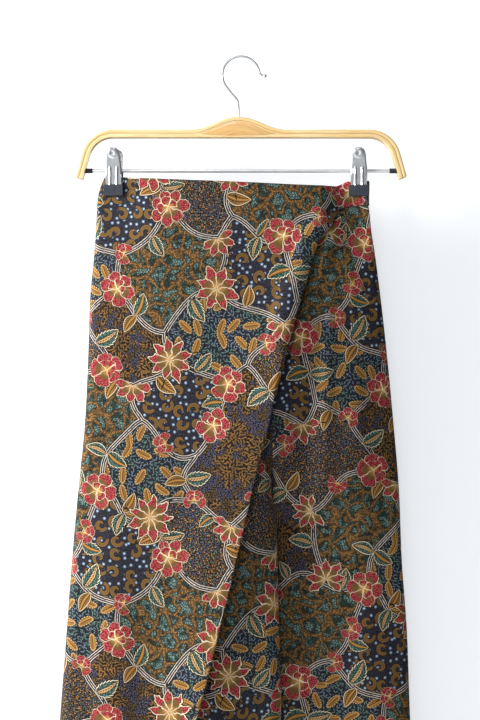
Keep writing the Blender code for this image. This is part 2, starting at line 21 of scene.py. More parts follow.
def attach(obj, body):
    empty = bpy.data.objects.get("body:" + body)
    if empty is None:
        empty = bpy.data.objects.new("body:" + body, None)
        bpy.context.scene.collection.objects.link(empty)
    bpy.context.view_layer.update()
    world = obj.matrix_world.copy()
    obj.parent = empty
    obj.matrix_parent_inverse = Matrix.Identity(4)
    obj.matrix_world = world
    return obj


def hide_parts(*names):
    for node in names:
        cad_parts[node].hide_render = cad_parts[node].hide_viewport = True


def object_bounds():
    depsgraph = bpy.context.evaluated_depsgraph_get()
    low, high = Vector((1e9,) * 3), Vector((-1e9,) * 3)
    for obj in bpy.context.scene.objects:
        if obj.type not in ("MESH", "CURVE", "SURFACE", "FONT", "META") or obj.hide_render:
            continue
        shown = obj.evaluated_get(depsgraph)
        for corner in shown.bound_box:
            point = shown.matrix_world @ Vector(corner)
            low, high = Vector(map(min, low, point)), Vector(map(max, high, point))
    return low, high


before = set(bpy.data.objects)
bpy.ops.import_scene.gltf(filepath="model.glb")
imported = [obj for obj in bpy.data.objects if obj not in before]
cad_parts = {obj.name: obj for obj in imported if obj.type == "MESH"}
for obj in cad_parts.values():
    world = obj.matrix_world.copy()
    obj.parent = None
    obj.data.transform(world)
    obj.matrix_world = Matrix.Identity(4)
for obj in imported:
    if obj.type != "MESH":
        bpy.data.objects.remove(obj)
cad_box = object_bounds()
scene = bpy.context.scene
MM = 0.001
print("CAD nodes:", len(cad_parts))
print("CAD box, mm:", [[round(c / MM, 1) for c in corner] for corner in cad_box])

# %% [markdown]
# ## Camera
#
# The photograph is 480 by 720 pixels and shows 1.2 mm of the garment in each. The camera is level, at
# the height of the frame's middle row, and 1.5 m away, which is why the hanger's underside just shows.
# Blender fits the sensor's width to a picture's long side, here its height, so the lens follows from it.

# %% Camera
PIXEL = 1.2 * MM
FRAME_WIDE = 480
FRAME_HIGH = 720
ORIGIN_PX = (241.0, 57.5)
CAMERA_BACK = 1.5
SENSOR = 36

camera = bpy.data.objects.new("camera", bpy.data.cameras.new("camera"))
scene.collection.objects.link(camera)
middle_x = (FRAME_WIDE / 2 - ORIGIN_PX[0]) * PIXEL
middle_z = (ORIGIN_PX[1] - FRAME_HIGH / 2) * PIXEL
camera.location = (middle_x, -CAMERA_BACK, middle_z)
camera.rotation_euler = (math.pi / 2, 0, 0)
camera.data.sensor_width = SENSOR
camera.data.lens = SENSOR * CAMERA_BACK / (FRAME_HIGH * PIXEL)
bpy.context.scene.camera = camera
print("lens, mm:", round(camera.data.lens, 1))

# %% [markdown]
# ## Wall, floor and light
#
# A white wall close behind catches the soft shadows of the hanger and the legs. It is seen only from its
# front and lets light through, so that the back of the garment can be lit and looked at too. The light
# is one large soft lamp, far to the left, in a pale room that is brighter on that side.

# %% Wall and floor
WALL_BEHIND = 14 * MM
FLOOR_BELOW = 0.30
STAGE_HALF = 4.0
COOL_WHITE = (0.93, 0.96, 1.0, 1)
MATT_PAINT = {"Roughness": 0.9, "Specular IOR Level": 0.1}


def new_material(name, settings):
    """A material with fixed settings on its shader, its node tree, and that shader."""
    made = bpy.data.materials.new(name)
    made.use_nodes = True
    shader = made.node_tree.nodes["Principled BSDF"]
    for label, value in settings.items():
        shader.inputs[label].default_value = value
    return made, made.node_tree, shader


def object_from(name, bm):
    """A new object in the scene from a finished bmesh."""
    mesh = bpy.data.meshes.new(name)
    bm.to_mesh(mesh)
    bm.free()
    made = bpy.data.objects.new(name, mesh)
    scene.collection.objects.link(made)
    return made


def stage_plane(name, place, turn, paint):
    bm = bmesh.new()
    bmesh.ops.create_grid(bm, x_segments=1, y_segments=1, size=STAGE_HALF)
    bmesh.ops.transform(bm, matrix=Matrix.Translation(place) @ turn, verts=bm.verts)
    made = object_from(name, bm)
    made.data.materials.append(paint)


floor_paint = new_material("floor_paint", {"Base Color": (0.80, 0.80, 0.81, 1), **MATT_PAINT})[0]
wall_look = {"Base Color": (0.62, 0.63, 0.65, 1), "Emission Color": COOL_WHITE, "Emission Strength": 0.62}
wall_paint, tree, shader = new_material("wall_paint", {**wall_look, **MATT_PAINT})
rays = tree.nodes.new("ShaderNodeLightPath")
surface = tree.nodes.new("ShaderNodeNewGeometry")
front_seen = tree.nodes.new("ShaderNodeMath")
front_seen.operation = "SUBTRACT"
front_seen.use_clamp = True
clear = tree.nodes.new("ShaderNodeBsdfTransparent")
choose = tree.nodes.new("ShaderNodeMixShader")
for start, end in (
    (rays.outputs["Is Camera Ray"], front_seen.inputs[0]),
    (surface.outputs["Backfacing"], front_seen.inputs[1]),
    (front_seen.outputs[0], choose.inputs["Fac"]),
    (clear.outputs[0], choose.inputs[1]),
    (shader.outputs[0], choose.inputs[2]),
    (choose.outputs[0], tree.nodes["Material Output"].inputs["Surface"]),
):
    tree.links.new(start, end)

stage_plane("wall", (0, cad_box[1].y + WALL_BEHIND, 0), Matrix.Rotation(math.pi / 2, 4, "X"), wall_paint)
stage_plane("floor", (0, 0, cad_box[0].z - FLOOR_BELOW), Matrix.Identity(4), floor_paint)

# %% Light
ROOM_LEFT = 0.31
ROOM_RIGHT = 0.06
GARMENT_MIDDLE = Vector((0, 0, -0.45))

scene.view_settings.view_transform = "Standard"
world = bpy.data.worlds.new("room")
world.use_nodes = True
tree = world.node_tree
background = tree.nodes["Background"].inputs
background["Color"].default_value = COOL_WHITE
split = tree.nodes.new("ShaderNodeSeparateXYZ")
brightness = tree.nodes.new("ShaderNodeMapRange")
for label, value in (("From Min", -1), ("From Max", 1), ("To Min", ROOM_LEFT), ("To Max", ROOM_RIGHT)):
    brightness.inputs[label].default_value = value
tree.links.new(tree.nodes.new("ShaderNodeTexCoord").outputs["Generated"], split.inputs[0])
tree.links.new(split.outputs["X"], brightness.inputs["Value"])
tree.links.new(brightness.outputs[0], background["Strength"])
scene.world = world


def soft_lamp(name, place, size, power, colour):
    """A round lamp that faces the garment's middle."""
    lamp = bpy.data.lights.new(name, "AREA")
    lamp.shape = "DISK"
    lamp.size = size
    lamp.energy = power
    lamp.color = colour
    made = bpy.data.objects.new(name, lamp)
    made.location = place
    made.rotation_euler = (GARMENT_MIDDLE - Vector(place)).to_track_quat("-Z", "Y").to_euler()
    scene.collection.objects.link(made)


soft_lamp("key", (-2.5, -0.78, 0.4), 1.0, 150, (1.0, 0.99, 0.97))
soft_lamp("fill", (-0.3, -1.7, 1.0), 0.5, 9, (0.97, 0.98, 1.0))
soft_lamp("back_fill", (0.6, 2.2, 0.6), 1.6, 14, (1.0, 1.0, 1.0))

# %% [markdown]
# ## Tables of sizes
#
# Cloth has no simple shape, but a hanging garment can be told in level sections. Each table has a row
# for each level or fold and a column for each size, in millimetres, and is read along a smooth curve
# that never overshoots. The same tables shape the CAD walls, so the fine cloth lies where they are. Only
# the deep fold on the left hip is 1 mm shallower here.

# %% Helpers for sizes
def smooth(t):
    t = np.clip(t, 0.0, 1.0)
    return t * t * (3 - 2 * t)


def mix(a, b, t):
    return a + (b - a) * t


def eased(value, start, end):
    """0 up to the start, 1 from the end on, smooth between."""
    return smooth((value - start) / (end - start))


def even_steps(start, end, step):
    return np.linspace(start, end, max(int(round(abs(end - start) / step)), 1) + 1)


def unit(vectors):
    return vectors / np.linalg.norm(vectors, axis=-1, keepdims=True)


def run_along(line):
    """How far along a line each of its points lies."""
    return np.concatenate([[0], np.cumsum(np.linalg.norm(np.diff(line, axis=0), axis=1))])


class Table:
    """Rows of sizes in millimetres, read back in metres for one place or an array of places."""

    def __init__(self, columns, *rows):
        names = columns.split()
        self.columns = dict(zip(names, np.array(rows, float).T * MM))
        self.places = self.columns[names[0]]

    def at(self, column, place):
        values, places = self.columns[column], self.places
        step = np.diff(places)
        rise = np.diff(values) / step
        slope = np.zeros(len(values))
        same_way = rise[:-1] * rise[1:] > 0
        total = np.where(same_way, rise[:-1] + rise[1:], 1)
        slope[1:-1] = np.where(same_way, 2 * rise[:-1] * rise[1:] / total, 0)
        place = np.clip(place, places[0], places[-1])
        i = np.clip(np.searchsorted(places, place, side="right") - 1, 0, len(step) - 1)
        t = (place - places[i]) / step[i]
        start, end = slope[i] * step[i], slope[i + 1] * step[i]
        return mix(values[i], values[i + 1], smooth(t)) + t * (1 - t) * ((1 - t) * start - t * end)

    def rows(self):
        return zip(*self.columns.values())


# %% The garment's tables
HALF_COLUMNS = "drop side_y centre_y side front back crown_front crown_back"
FOLD_COLUMNS = "start end x_start x_end width out"
# The x of the side seams at each level.
SIDES = Table(
    "drop right left",
    (141, -161.4, 153.6),
    (155, -166.8, 154.0),
    (171, -170.6, 153.6),
    (202, -172.2, 156.0),
    (238, -174.6, 162.0),
    (291, -179.4, 169.2),
    (363, -181.8, 177.6),
    (435, -185.4, 184.8),
    (521, -193.8, 192.4),
    (603, -201.0, 196.8),
    (699, -208.2, 204.0),
    (794, -215.4, 207.6),
    (1047, -232.0, 219.6),
)
# The x of the centre seams of front and back, from the waist to the crotch.
CENTRE_SEAMS = Table(
    "drop front back",
    (141, 8, -8),
    (300, 25, -4),
    (430, 37, 6),
    (480, 37.2, 20),
    (521, 37.2, 37.2),
)
# The x of each leg's inner seam, from the crotch to the hem.
INSEAMS = Table(
    "drop right left",
    (521, 37.2, 37.2),
    (560, 42.0, 42.6),
    (600, 43.8, 42.0),
    (650, 45.0, 30.0),
    (700, 46.5, 15.0),
    (794, 48.5, -2.0),
    (1047, 52.0, -25.0),
)
# A half's y at its side and its centre seam, its depths from there, and how far it crowns between.
RIGHT_HALF = Table(
    HALF_COLUMNS,
    (141, 0, 0, 5, 13, 12, 0, 0),
    (171, 0, 0, 6, 15, 14, 0, 0),
    (238, 1, 1, 7, 20, 18, 1, 1),
    (363, 2, 2, 8, 24, 22, 2, 2),
    (480, 3, 5, 8, 24, 22, 3, 4),
    (521, 3, 8, 8, 22, 17, 5, 6),
    (560, 2, 0, 8, 13, 8, 8, 8),
    (620, 1, -3, 8, 10, 8, 10, 9),
    (794, 1, -4, 8, 9, 8, 11, 9),
    (1047, 1, -4, 8, 9, 9, 12, 10),
)
LEFT_HALF = Table(
    HALF_COLUMNS,
    (141, 0, 0, 5, 13, 12, 0, 0),
    (171, 0, 0, 6, 15, 14, 0, 0),
    (238, 2, 1, 7, 20, 18, 1, 1),
    (363, 8, 2, 8, 24, 22, 2, 2),
    (480, 13, 5, 8, 24, 22, 2, 4),
    (521, 15, 8, 8, 21, 17, 2, 5),
    (560, 19, 23, 8, 10, 11, 9, 7),
    (620, 25, 26, 8, 9, 10, 11, 8),
    (794, 29, 27, 8, 9, 10, 12, 8),
    (1047, 31, 30, 8, 9, 10, 13, 9),
)
HALVES = {"right": RIGHT_HALF, "left": LEFT_HALF}
# The radii at which the cloth rolls round the sides and round the legs.
ROLLS = Table(
    "drop side right_front left_front back",
    (141, 4, 8, 8, 8),
    (238, 8, 10, 14, 14),
    (430, 9, 12, 26, 20),
    (521, 9, 12, 24, 18),
    (600, 10, 15, 12, 12),
    (1047, 11, 16, 12, 12),
)
# The drop of the waistband's top and of its seam, from side to side.
WAIST_EDGE = Table(
    "x top seam",
    (-174, 158, 178.0),
    (-163, 142.5, 176.0),
    (-143, 144.6, 175.5),
    (-13, 150.6, 180.1),
    (112, 155.2, 183.2),
    (131, 148.6, 178.4),
    (154, 148.6, 178.0),
)
# The wrap's free edge: its x, how far it stands off, and how far the cloth beside it curls up.
WRAP_EDGE = Table(
    "drop x lift curl",
    (150, 112.8, 0.3, 0),
    (187, 112.8, 0.8, 1.0),
    (201, 106.6, 1.0, 3.0),
    (220, 93.6, 1.4, 4.5),
    (263, 79.2, 3.0, 4.5),
    (317, 61.2, 7.0, 2.5),
    (381, 45.6, 9.5, 1.0),
    (445, 31.2, 10.0, 0.5),
    (515, 13.2, 10.0, 0),
    (632, -14.4, 11.0, 0),
    (752, -43.2, 12.0, 0),
    (1047, -107, 14.0, 0),
)
# Soft folds: the levels and the x where each starts and ends, its half width, and how far it stands out.
FOLDS = {
    ("right", "front"): Table(
        FOLD_COLUMNS,
        (430, 1250, -149, -158, 36, 3.2),
        (560, 1400, -86, -94, 46, -2.4),
        (640, 1400, -30, -36, 50, 2.6),
        (780, 1500, 18, 20, 30, -2.0),
    ),
    ("left", "front"): Table(
        FOLD_COLUMNS,
        (205, 600, 84, 62, 34, -8.0),
        (240, 480, 99, 97, 16, 2.4),
        (300, 620, 138, 150, 34, 2.2),
        (560, 1400, 120, 112, 34, -2.6),
        (600, 1400, 166, 170, 34, 2.6),
        (760, 1500, 84, 80, 24, 2.2),
    ),
    ("right", "back"): Table(
        FOLD_COLUMNS,
        (200, 560, -96, -110, 40, 2.6),
        (330, 720, -30, -60, 36, -2.4),
        (560, 1400, -150, -166, 40, -3.0),
        (620, 1400, -78, -92, 44, 3.2),
    ),
    ("left", "back"): Table(
        FOLD_COLUMNS,
        (200, 560, 88, 104, 40, 2.6),
        (330, 720, 52, 70, 34, -2.4),
        (600, 1400, 96, 92, 40, 3.0),
        (560, 1400, 158, 172, 36, -3.0),
    ),
}

# %% [markdown]
# ## The cloth's surface
#
# A half of the front or back is a strip from the side seam to the centre seam. Its level section rolls
# round the side, runs flat, and rolls round the leg again below the crotch. Near a clip it is pinched
# flat. `section` works a whole grid of places at once, and `skin` moves them out along the surface.

# %% Levels, pinches and folds
CLOTH = 1.2 * MM
WRAP_CLEARANCE = 0.8 * MM
WAIST = 181 * MM
LEVEL_BY = 260 * MM
DIP_START = 445 * MM
CROTCH = 521 * MM
HEM = 1047 * MM
CLIP_X = {"right": -151.7 * MM, "left": 141.6 * MM}
CLIP_TURN = math.radians(8)
PINCH_HALF = 2.0 * MM
PINCH_FLAT = 15 * MM
PINCH_FADE = 50 * MM
PINCH_DEEP = 176 * MM
PINCH_GONE = 260 * MM
FOLD_FADE = 0.3


def pinch(x, drop):
    """How firmly the nearer clip holds the cloth at a place, and that clip's middle line there."""
    right, left = CLIP_X["right"], CLIP_X["left"]
    clip = np.where(np.abs(x - right) < np.abs(x - left), right, left)
    across = 1 - eased(np.abs(x - clip), PINCH_FLAT, PINCH_FADE)
    down = 1 - eased(drop, PINCH_DEEP, PINCH_GONE)
    return across * down, -math.tan(CLIP_TURN) * (x - clip)


def fold_out(table, x, drop):
    """The sum of a table's soft folds at a place, as a distance outwards."""
    total = np.zeros(np.shape(x))
    for start, end, x0, x1, width, out in table.rows():
        down = (drop - start) / (end - start)
        across = np.minimum(np.abs(x - mix(x0, x1, down)) / width, 1)
        ends = smooth(down / FOLD_FADE) * smooth((1 - down) / FOLD_FADE)
        total += out * ends * np.cos(across * math.pi / 2) ** 2
    return total


def seam_x(half, face, drop):
    return np.where(drop < CROTCH, CENTRE_SEAMS.at(face, drop), INSEAMS.at(half, drop))


def tuck(drop):
    """0 where the cloth runs flat over the centre seam, 1 where it rolls right round a leg."""
    return np.sin(math.pi / 2 * eased(drop, DIP_START, CROTCH))

# %% Sections of the cloth
# The rolls at a half's two sides take this share of its places each, and the swell fills its depth out.
ROLL_SHARE = 0.16
SWELL = 2.2
PINCHED_ROLL = 2.2 * MM
BARELY = 0.01
NUDGE = 0.0005
# The left leg moves behind the right one between these two distances from the middle.
BEHIND_TO = 58 * MM
BEHIND_FROM = 185 * MM


def section(half, face, u, drop):
    """The x and y of the outer surface: u runs from the side seam, 0, to the centre seam, 1."""
    table = HALVES[half]
    side_x = SIDES.at(half, drop)
    span = np.abs(seam_x(half, face, drop) - side_x)
    side_roll = mix(ROLLS.at("side", drop), PINCHED_ROLL, pinch(side_x, drop)[0])
    centre_roll = ROLLS.at("back" if face == "back" else half + "_front", drop)
    tucked = tuck(drop)
    side_angle = math.pi / 2 * np.clip(1 - u / ROLL_SHARE, 0, 1)
    share = np.clip((u - 1 + ROLL_SHARE) / ROLL_SHARE, 0, 1)
    centre_angle = np.arcsin(tucked) * share
    bent = np.where(tucked > BARELY, np.sin(centre_angle) / np.maximum(tucked, BARELY), share)
    flat = mix(side_roll, span - centre_roll, (u - ROLL_SHARE) / (1 - 2 * ROLL_SHARE))
    along = np.where(u < ROLL_SHARE, side_roll * (1 - np.sin(side_angle)), flat)
    along = np.where(u > 1 - ROLL_SHARE, span - centre_roll + centre_roll * bent, along)
    x = side_x + (along if half == "right" else -along)
    s = np.minimum(along / span, 1)
    if half == "right":
        inner = 1 - (1 - s) ** SWELL
    else:
        inner = smooth((BEHIND_FROM - x) / (BEHIND_FROM - BEHIND_TO))
    middle = mix(table.at("side_y", drop), table.at("centre_y", drop), inner)
    depth = mix(table.at("side", drop), table.at(face, drop), 1 - (1 - s) ** SWELL)
    depth = depth + table.at("crown_" + face, drop) * np.sin(math.pi * s)
    depth = depth + fold_out(FOLDS[half, face], x, drop)
    held, clip_line = pinch(x, drop)
    middle = mix(middle, clip_line, held)
    depth = mix(depth, PINCH_HALF, held)
    outward = -1 if face == "front" else 1
    return x, middle + outward * depth * np.cos(side_angle + centre_angle)


def skin(half, face, u, drop, out):
    """Points a distance out from the outer surface, as an array of x, y and z."""
    x, y = section(half, face, u, drop)
    ahead = section(half, face, np.minimum(u + NUDGE, 1), drop)
    behind = section(half, face, np.maximum(u - NUDGE, 0), drop)
    run_x, run_y = ahead[0] - behind[0], ahead[1] - behind[1]
    length = np.hypot(run_x, run_y)
    turn = 1 if (half == "right") == (face == "front") else -1
    x = x + out * turn * run_y / length
    y = y - out * turn * run_x / length
    return np.stack([x, y, -drop], axis=-1)


# %% [markdown]
# ## Charting the print
#
# The print repeats every 300 by 415 mm. Winding stems part it into regions, each with its own small
# filling, and flowers and leaves lie on the stems. Shader nodes draw all of it, but they need to know where
# they are, so each face's corners are given their distances from the stems round it and their place on the
# flower and leaf nearest to it. The layout is three tables: regions, flowers and leaves.

# %% The repeat of the print
REPEAT = np.array((300.0, 415.0)) * MM
TEAL, NAVY, STIPPLE, BEANS, POINTS = range(5)
REGIONS = (
    (30, 40, TEAL, 0),
    (135, 58, NAVY, 1),
    (232, 30, STIPPLE, 2),
    (72, 132, STIPPLE, 3),
    (190, 138, BEANS, 4),
    (280, 118, POINTS, 5),
    (20, 212, BEANS, 6),
    (125, 218, TEAL, 7),
    (222, 222, NAVY, 8),
    (62, 300, NAVY, 9),
    (158, 312, POINTS, 10),
    (262, 318, TEAL, 11),
    (112, 385, BEANS, 12),
    (205, 400, STIPPLE, 2),
)
# Stands for the distance to a border or a motif where there is none.
FAR = 99.0
# axis, distance, waves across and up, start
WINDING = (
    (0, 11.0, 1, 2, 0.4),
    (0, 6.5, -2, 3, 2.1),
    (1, 11.0, 2, 1, 1.2),
    (1, 6.5, 3, -2, 0.3),
)
RIPPLES = (
    (0, 4.4, 1, 5, 0.9),
    (1, 4.4, 4, 1, 2.6),
)


def wind(place, waves=WINDING + RIPPLES):
    """Bends places so that straight borders wind, and how that stretches them, the same in each repeat."""
    moved = place.copy()
    stretch = np.zeros(place.shape + (2,))
    stretch[..., 0, 0] = 1
    stretch[..., 1, 1] = 1
    for axis, far, across, up, start in waves:
        wave = 2 * math.pi * np.array((across, up)) / REPEAT
        phase = place @ wave + start
        moved[..., axis] += far * MM * np.sin(phase)
        stretch[..., axis, :] += far * MM * np.cos(phase)[..., None] * wave
    return moved, stretch


def nearest_image(place, spot):
    """The repeat of each spot that lies nearest to each place."""
    gap = spot - place
    return place + gap - np.round(gap / REPEAT) * REPEAT


def border_marks(middles, corners):
    """For each face: signed distances to the borders between its three nearest regions, and their fills."""
    spots = np.array([region[:2] for region in REGIONS]) * MM
    fills = np.array([region[2] for region in REGIONS])
    groups = np.array([region[3] for region in REGIONS])
    near, _ = wind(middles)
    images = nearest_image(near[:, None, :], spots[None, :, :])
    order = np.argsort(np.linalg.norm(images - near[:, None, :], axis=2), axis=1)[:, :3]
    rows = np.arange(len(middles))[:, None]
    three = images[rows, order]
    moved, stretch = wind(corners)
    borders = []
    for i, j in ((0, 1), (0, 2), (1, 2)):
        first, second = three[:, None, i], three[:, None, j]
        normal = unit(first - second)
        distance = np.sum((moved - (first + second) / 2) * normal, axis=-1)
        bent = np.einsum("fcij,fci->fcj", stretch, np.broadcast_to(normal, moved.shape))
        slope = np.linalg.norm(bent, axis=-1)
        merged = groups[order[:, i]] == groups[order[:, j]]
        borders.append(np.where(merged[:, None], FAR, distance / slope / MM))
    return np.stack(borders, axis=-1), np.repeat(fills[order][:, None, :], corners.shape[1], axis=1)


# %% Flowers and leaves of the repeat
# x, y, radius, turn, petals, pointed, share of a circle
FLOWERS = (
    (124, 116, 31, 15, 9, 1.0, 1.0),
    (191, 88, 24, 10, 6, 0.1, 1.0),
    (84, 78, 25, -100, 5, 0.4, 0.62),
    (181, 32, 24, 40, 6, 0.0, 1.0),
    (270, 54, 27, 200, 7, 0.9, 0.72),
    (48, 105, 23, 30, 5, 0.0, 1.0),
    (22, 166, 14, 60, 4, 0.0, 0.8),
    (260, 160, 26, -80, 5, 0.7, 0.6),
    (58, 193, 25, 70, 6, 0.0, 1.0),
    (185, 200, 30, 0, 8, 1.0, 1.0),
    (75, 239, 15, 160, 4, 0.0, 0.8),
    (178, 258, 23, -60, 5, 0.4, 0.6),
    (263, 258, 26, 30, 6, 0.0, 1.0),
    (125, 289, 27, 110, 7, 0.15, 1.0),
    (0, 285, 14, 0, 4, 0.0, 0.8),
    (194, 327, 25, -120, 5, 0.6, 0.6),
    (101, 338, 31, 0, 9, 1.0, 1.0),
    (156, 364, 15, 90, 4, 0.0, 0.8),
    (34, 367, 25, 20, 6, 0.0, 1.0),
    (288, 386, 28, 90, 7, 0.9, 0.8),
    (116, 13, 15, 200, 4, 0.2, 0.8),
    (240, 129, 15, 10, 4, 0.0, 0.8),
    (25, 322, 16, -30, 4, 0.1, 0.8),
    (231, 365, 16, 40, 4, 0.2, 0.8),
    (8, 81, 14, 250, 3, 0.0, 0.7),
)
# x, y, length, turn, kind
LEAVES = (
    (152, 95, 28, 50, 2),
    (107, 94, 30, -40, 0),
    (281, 14, 30, 170, 2),
    (54, 5, 28, -35, 1),
    (53, 3, 28, 160, 3),
    (240, 72, 26, 60, 0),
    (240, 72, 32, 215, 2),
    (33, 136, 32, 30, 2),
    (87, 164, 28, 70, 1),
    (87, 164, 24, 235, 0),
    (147, 181, 32, -60, 2),
    (213, 171, 26, 80, 0),
    (265, 220, 30, 200, 1),
    (267, 215, 30, 10, 2),
    (25, 259, 34, 60, 2),
    (33, 251, 26, 240, 0),
    (101, 262, 28, -60, 2),
    (233, 261, 28, 255, 2),
    (232, 262, 24, 60, 1),
    (119, 314, 28, 200, 0),
    (120, 312, 28, 10, 2),
    (18, 311, 26, -20, 1),
    (69, 349, 28, 250, 2),
    (68, 350, 26, 60, 0),
    (194, 303, 30, -10, 0),
    (175, 341, 22, 215, 1),
    (149, 390, 30, 10, 2),
    (149, 388, 26, 190, 0),
    (246, 379, 24, 120, 3),
    (6, 372, 28, 75, 2),
    (64, 89, 26, 240, 0),
    (188, 64, 26, 190, 1),
    (0, 169, 26, 250, 0),
)
MOTIF_MARGIN = 4 * MM
LEAF_HALF = 0.36
MARK_LAYERS = ("stem", "fill", "flower", "petals", "leaf")


def motif_marks(middles, corners, table, reach):
    """Each face's place on its nearest motif, in that motif's own size, far away where there is none."""
    marks = np.full(corners.shape[:2] + (3,), FAR)
    cuts = np.zeros(corners.shape[:2] + (3,))
    closest = np.full(len(middles), np.inf)
    for number, (x, y, size, turn, *cut) in enumerate(table):
        size = size * MM
        set_at = np.array((x, y)) * MM
        rippled = 2 * set_at - wind(set_at, RIPPLES)[0]
        spot = nearest_image(middles, rippled)
        cos, sin = math.cos(math.radians(turn)), math.sin(math.radians(turn))
        turned = np.array(((cos, -sin), (sin, cos)))
        centre = (middles - spot) @ turned / size
        away = reach(centre)
        chosen = (away < 1 + MOTIF_MARGIN / size) & (away < closest)
        closest[chosen] = away[chosen]
        local = (corners[chosen] - spot[chosen][:, None, :]) @ turned / size
        marks[chosen] = np.concatenate([local, np.full(local.shape[:2] + (1,), number)], axis=-1)
        cuts[chosen] = (list(cut) + [0, 0, 0])[:3]
    return marks, cuts


def flower_reach(centre):
    return np.linalg.norm(centre, axis=-1)


def leaf_reach(centre):
    return np.hypot((centre[..., 0] - 0.5) / 0.5, centre[..., 1] / LEAF_HALF)


def chart(mesh, flat):
    """Writes the print's marks onto a mesh whose corners lie at the given places on the flat cloth."""
    start = np.zeros(len(mesh.polygons), int)
    mesh.polygons.foreach_get("loop_start", start)
    corners = flat.reshape(-1, 2)[start[:, None] + np.arange(4)]
    middles = corners.mean(axis=1)
    stem, fill = border_marks(middles, corners)
    flower, petals = motif_marks(middles, corners, FLOWERS, flower_reach)
    leaf, leaf_cut = motif_marks(middles, corners, LEAVES, leaf_reach)
    leaf[..., 2] = leaf_cut[..., 0]
    for name, values in zip(MARK_LAYERS, (stem, fill, flower, petals, leaf)):
        layer = mesh.attributes.new(name, "FLOAT_VECTOR", "CORNER")
        ordered = np.zeros((len(mesh.loops), 3))
        ordered[start[:, None] + np.arange(4)] = values
        layer.data.foreach_set("vector", ordered.ravel())


# %% [markdown]
# ## From a flat grid to a hanging shell
#
# A cloth piece starts as a flat grid, as cloth starts flat on the table. Its points are then moved onto
# the garment's surface, and its own UV map keeps the flat cloth's sizes in metres, so that the print and
# the weave keep their scale round every bend. Solidify gives the sheet its thickness, inwards.

# %% Laying cloth on a form
SHELL = 0.6 * MM


def laid_grid(bm, points):
    """Adds a flat grid and lays it on a form, an array of points with rows down and columns across."""
    rows, columns = points.shape[:2]
    made = bmesh.ops.create_grid(bm, x_segments=columns - 1, y_segments=rows - 1, size=1)["verts"]
    places = np.array([v.co for v in made])
    j = np.rint((places[:, 0] + 1) / 2 * (columns - 1)).astype(int)
    i = np.rint((1 - places[:, 1]) / 2 * (rows - 1)).astype(int)
    for vert, row, column in zip(made, i, j):
        vert.co = points[row, column]
    return i, j


def thicken(piece, name, thickness):
    """Gives a sheet its thickness, inwards from its outer face."""
    solidify = piece.modifiers.new(name, "SOLIDIFY")
    solidify.thickness = thickness
    solidify.offset = -1


def cloth_object(name, points, straight_x, shift, shell=SHELL):
    """A sheet through a grid of points, rows down and columns across, with a UV map in metres."""
    rows = len(points)
    bm = bmesh.new()
    i, j = laid_grid(bm, points)
    made = object_from(name, bm)
    mesh = made.data
    mesh.shade_smooth()
    steps = np.linalg.norm(np.diff(points, axis=1), axis=2)
    along = np.concatenate([np.zeros((rows, 1)), np.cumsum(steps, axis=1)], axis=1)
    start = np.array([np.interp(straight_x, points[r, :, 0], along[r]) for r in range(rows)])
    flat = np.stack([along - start[:, None], points[:, :, 2]], axis=-1)
    corners = np.zeros(len(mesh.loops), int)
    mesh.loops.foreach_get("vertex_index", corners)
    uv = mesh.uv_layers.new(name="flat_cloth")
    places = flat[i[corners], j[corners]] + np.array(shift) * MM
    uv.data.foreach_set("uv", places.ravel())
    chart(mesh, places)
    thicken(made, "thickness", shell)
    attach(made, "root")
    return made


# %% Sizes of the edges, hems, seams and creases
STEP = 3.2 * MM
FINE_STEP = 2.3 * MM
HALF_WIDE = 200 * MM
SIDE_PLACES = 8
# How far the wrap rises before its free edge, and how much of it rolls over there.
ROLLED_EDGE = Table(
    "drop rise reach",
    (187, 0, 0),
    (205, -0.6, 3.0),
    (225, -0.6, 5.5),
    (262, 0.6, 8.0),
    (310, 1.6, 9.5),
    (372, 1.2, 7.5),
    (435, 0, 3.2),
    (1047, 0, 2.6),
)
RISE_REACH = 24 * MM
ROLL_STEPS = np.linspace(0, 1, 61)
ROLL_ANGLE = 2.3 * ROLL_STEPS ** 1.5
# The trough that the wrap's edge presses into the front under it, and the bank beyond.
VALLEY = Table(
    "drop deep bank",
    (178, 0, 0),
    (194, 2.8, 2.8),
    (215, 5.0, 4.6),
    (280, 4.6, 3.6),
    (340, 4.4, 1.4),
    (420, 2.4, 0),
    (520, 1.2, 0),
    (1047, 0.8, 0),
)
VALLEY_WIDE = 4.0 * MM
BANK_AT = 13 * MM
BANK_WIDE = 8 * MM
# Below the crotch the left leg's seam stands out a little, where the two legs touch.
LEGS_MEET = Table(
    "drop out",
    (521, 0),
    (534, 0.7),
    (560, 1.8),
    (585, 1.2),
    (612, 0),
)
MEET_SHARE = 0.12
HEM_WIDE = 10 * MM
HEM_RISE = 0.35 * MM
HEM_SLOPE = 2.4 * MM
HEM_FINE = 18 * MM
HEM_STEP = 1.2 * MM
PUCKER = 0.22 * MM
PUCKER_PITCH = 11 * MM
PUCKER_REACH = 3 * MM
PUCKER_DRIFT = 17 * MM
SEAM_SINK = 1.4 * MM
SEAM_REACH = 3 * MM
SIDE_SCALE = 14.0
CENTRE_SCALE = 12
CREASE_FADE = 0.6
CREASE_COLUMNS = "drop x run_x run_drop wide rise"
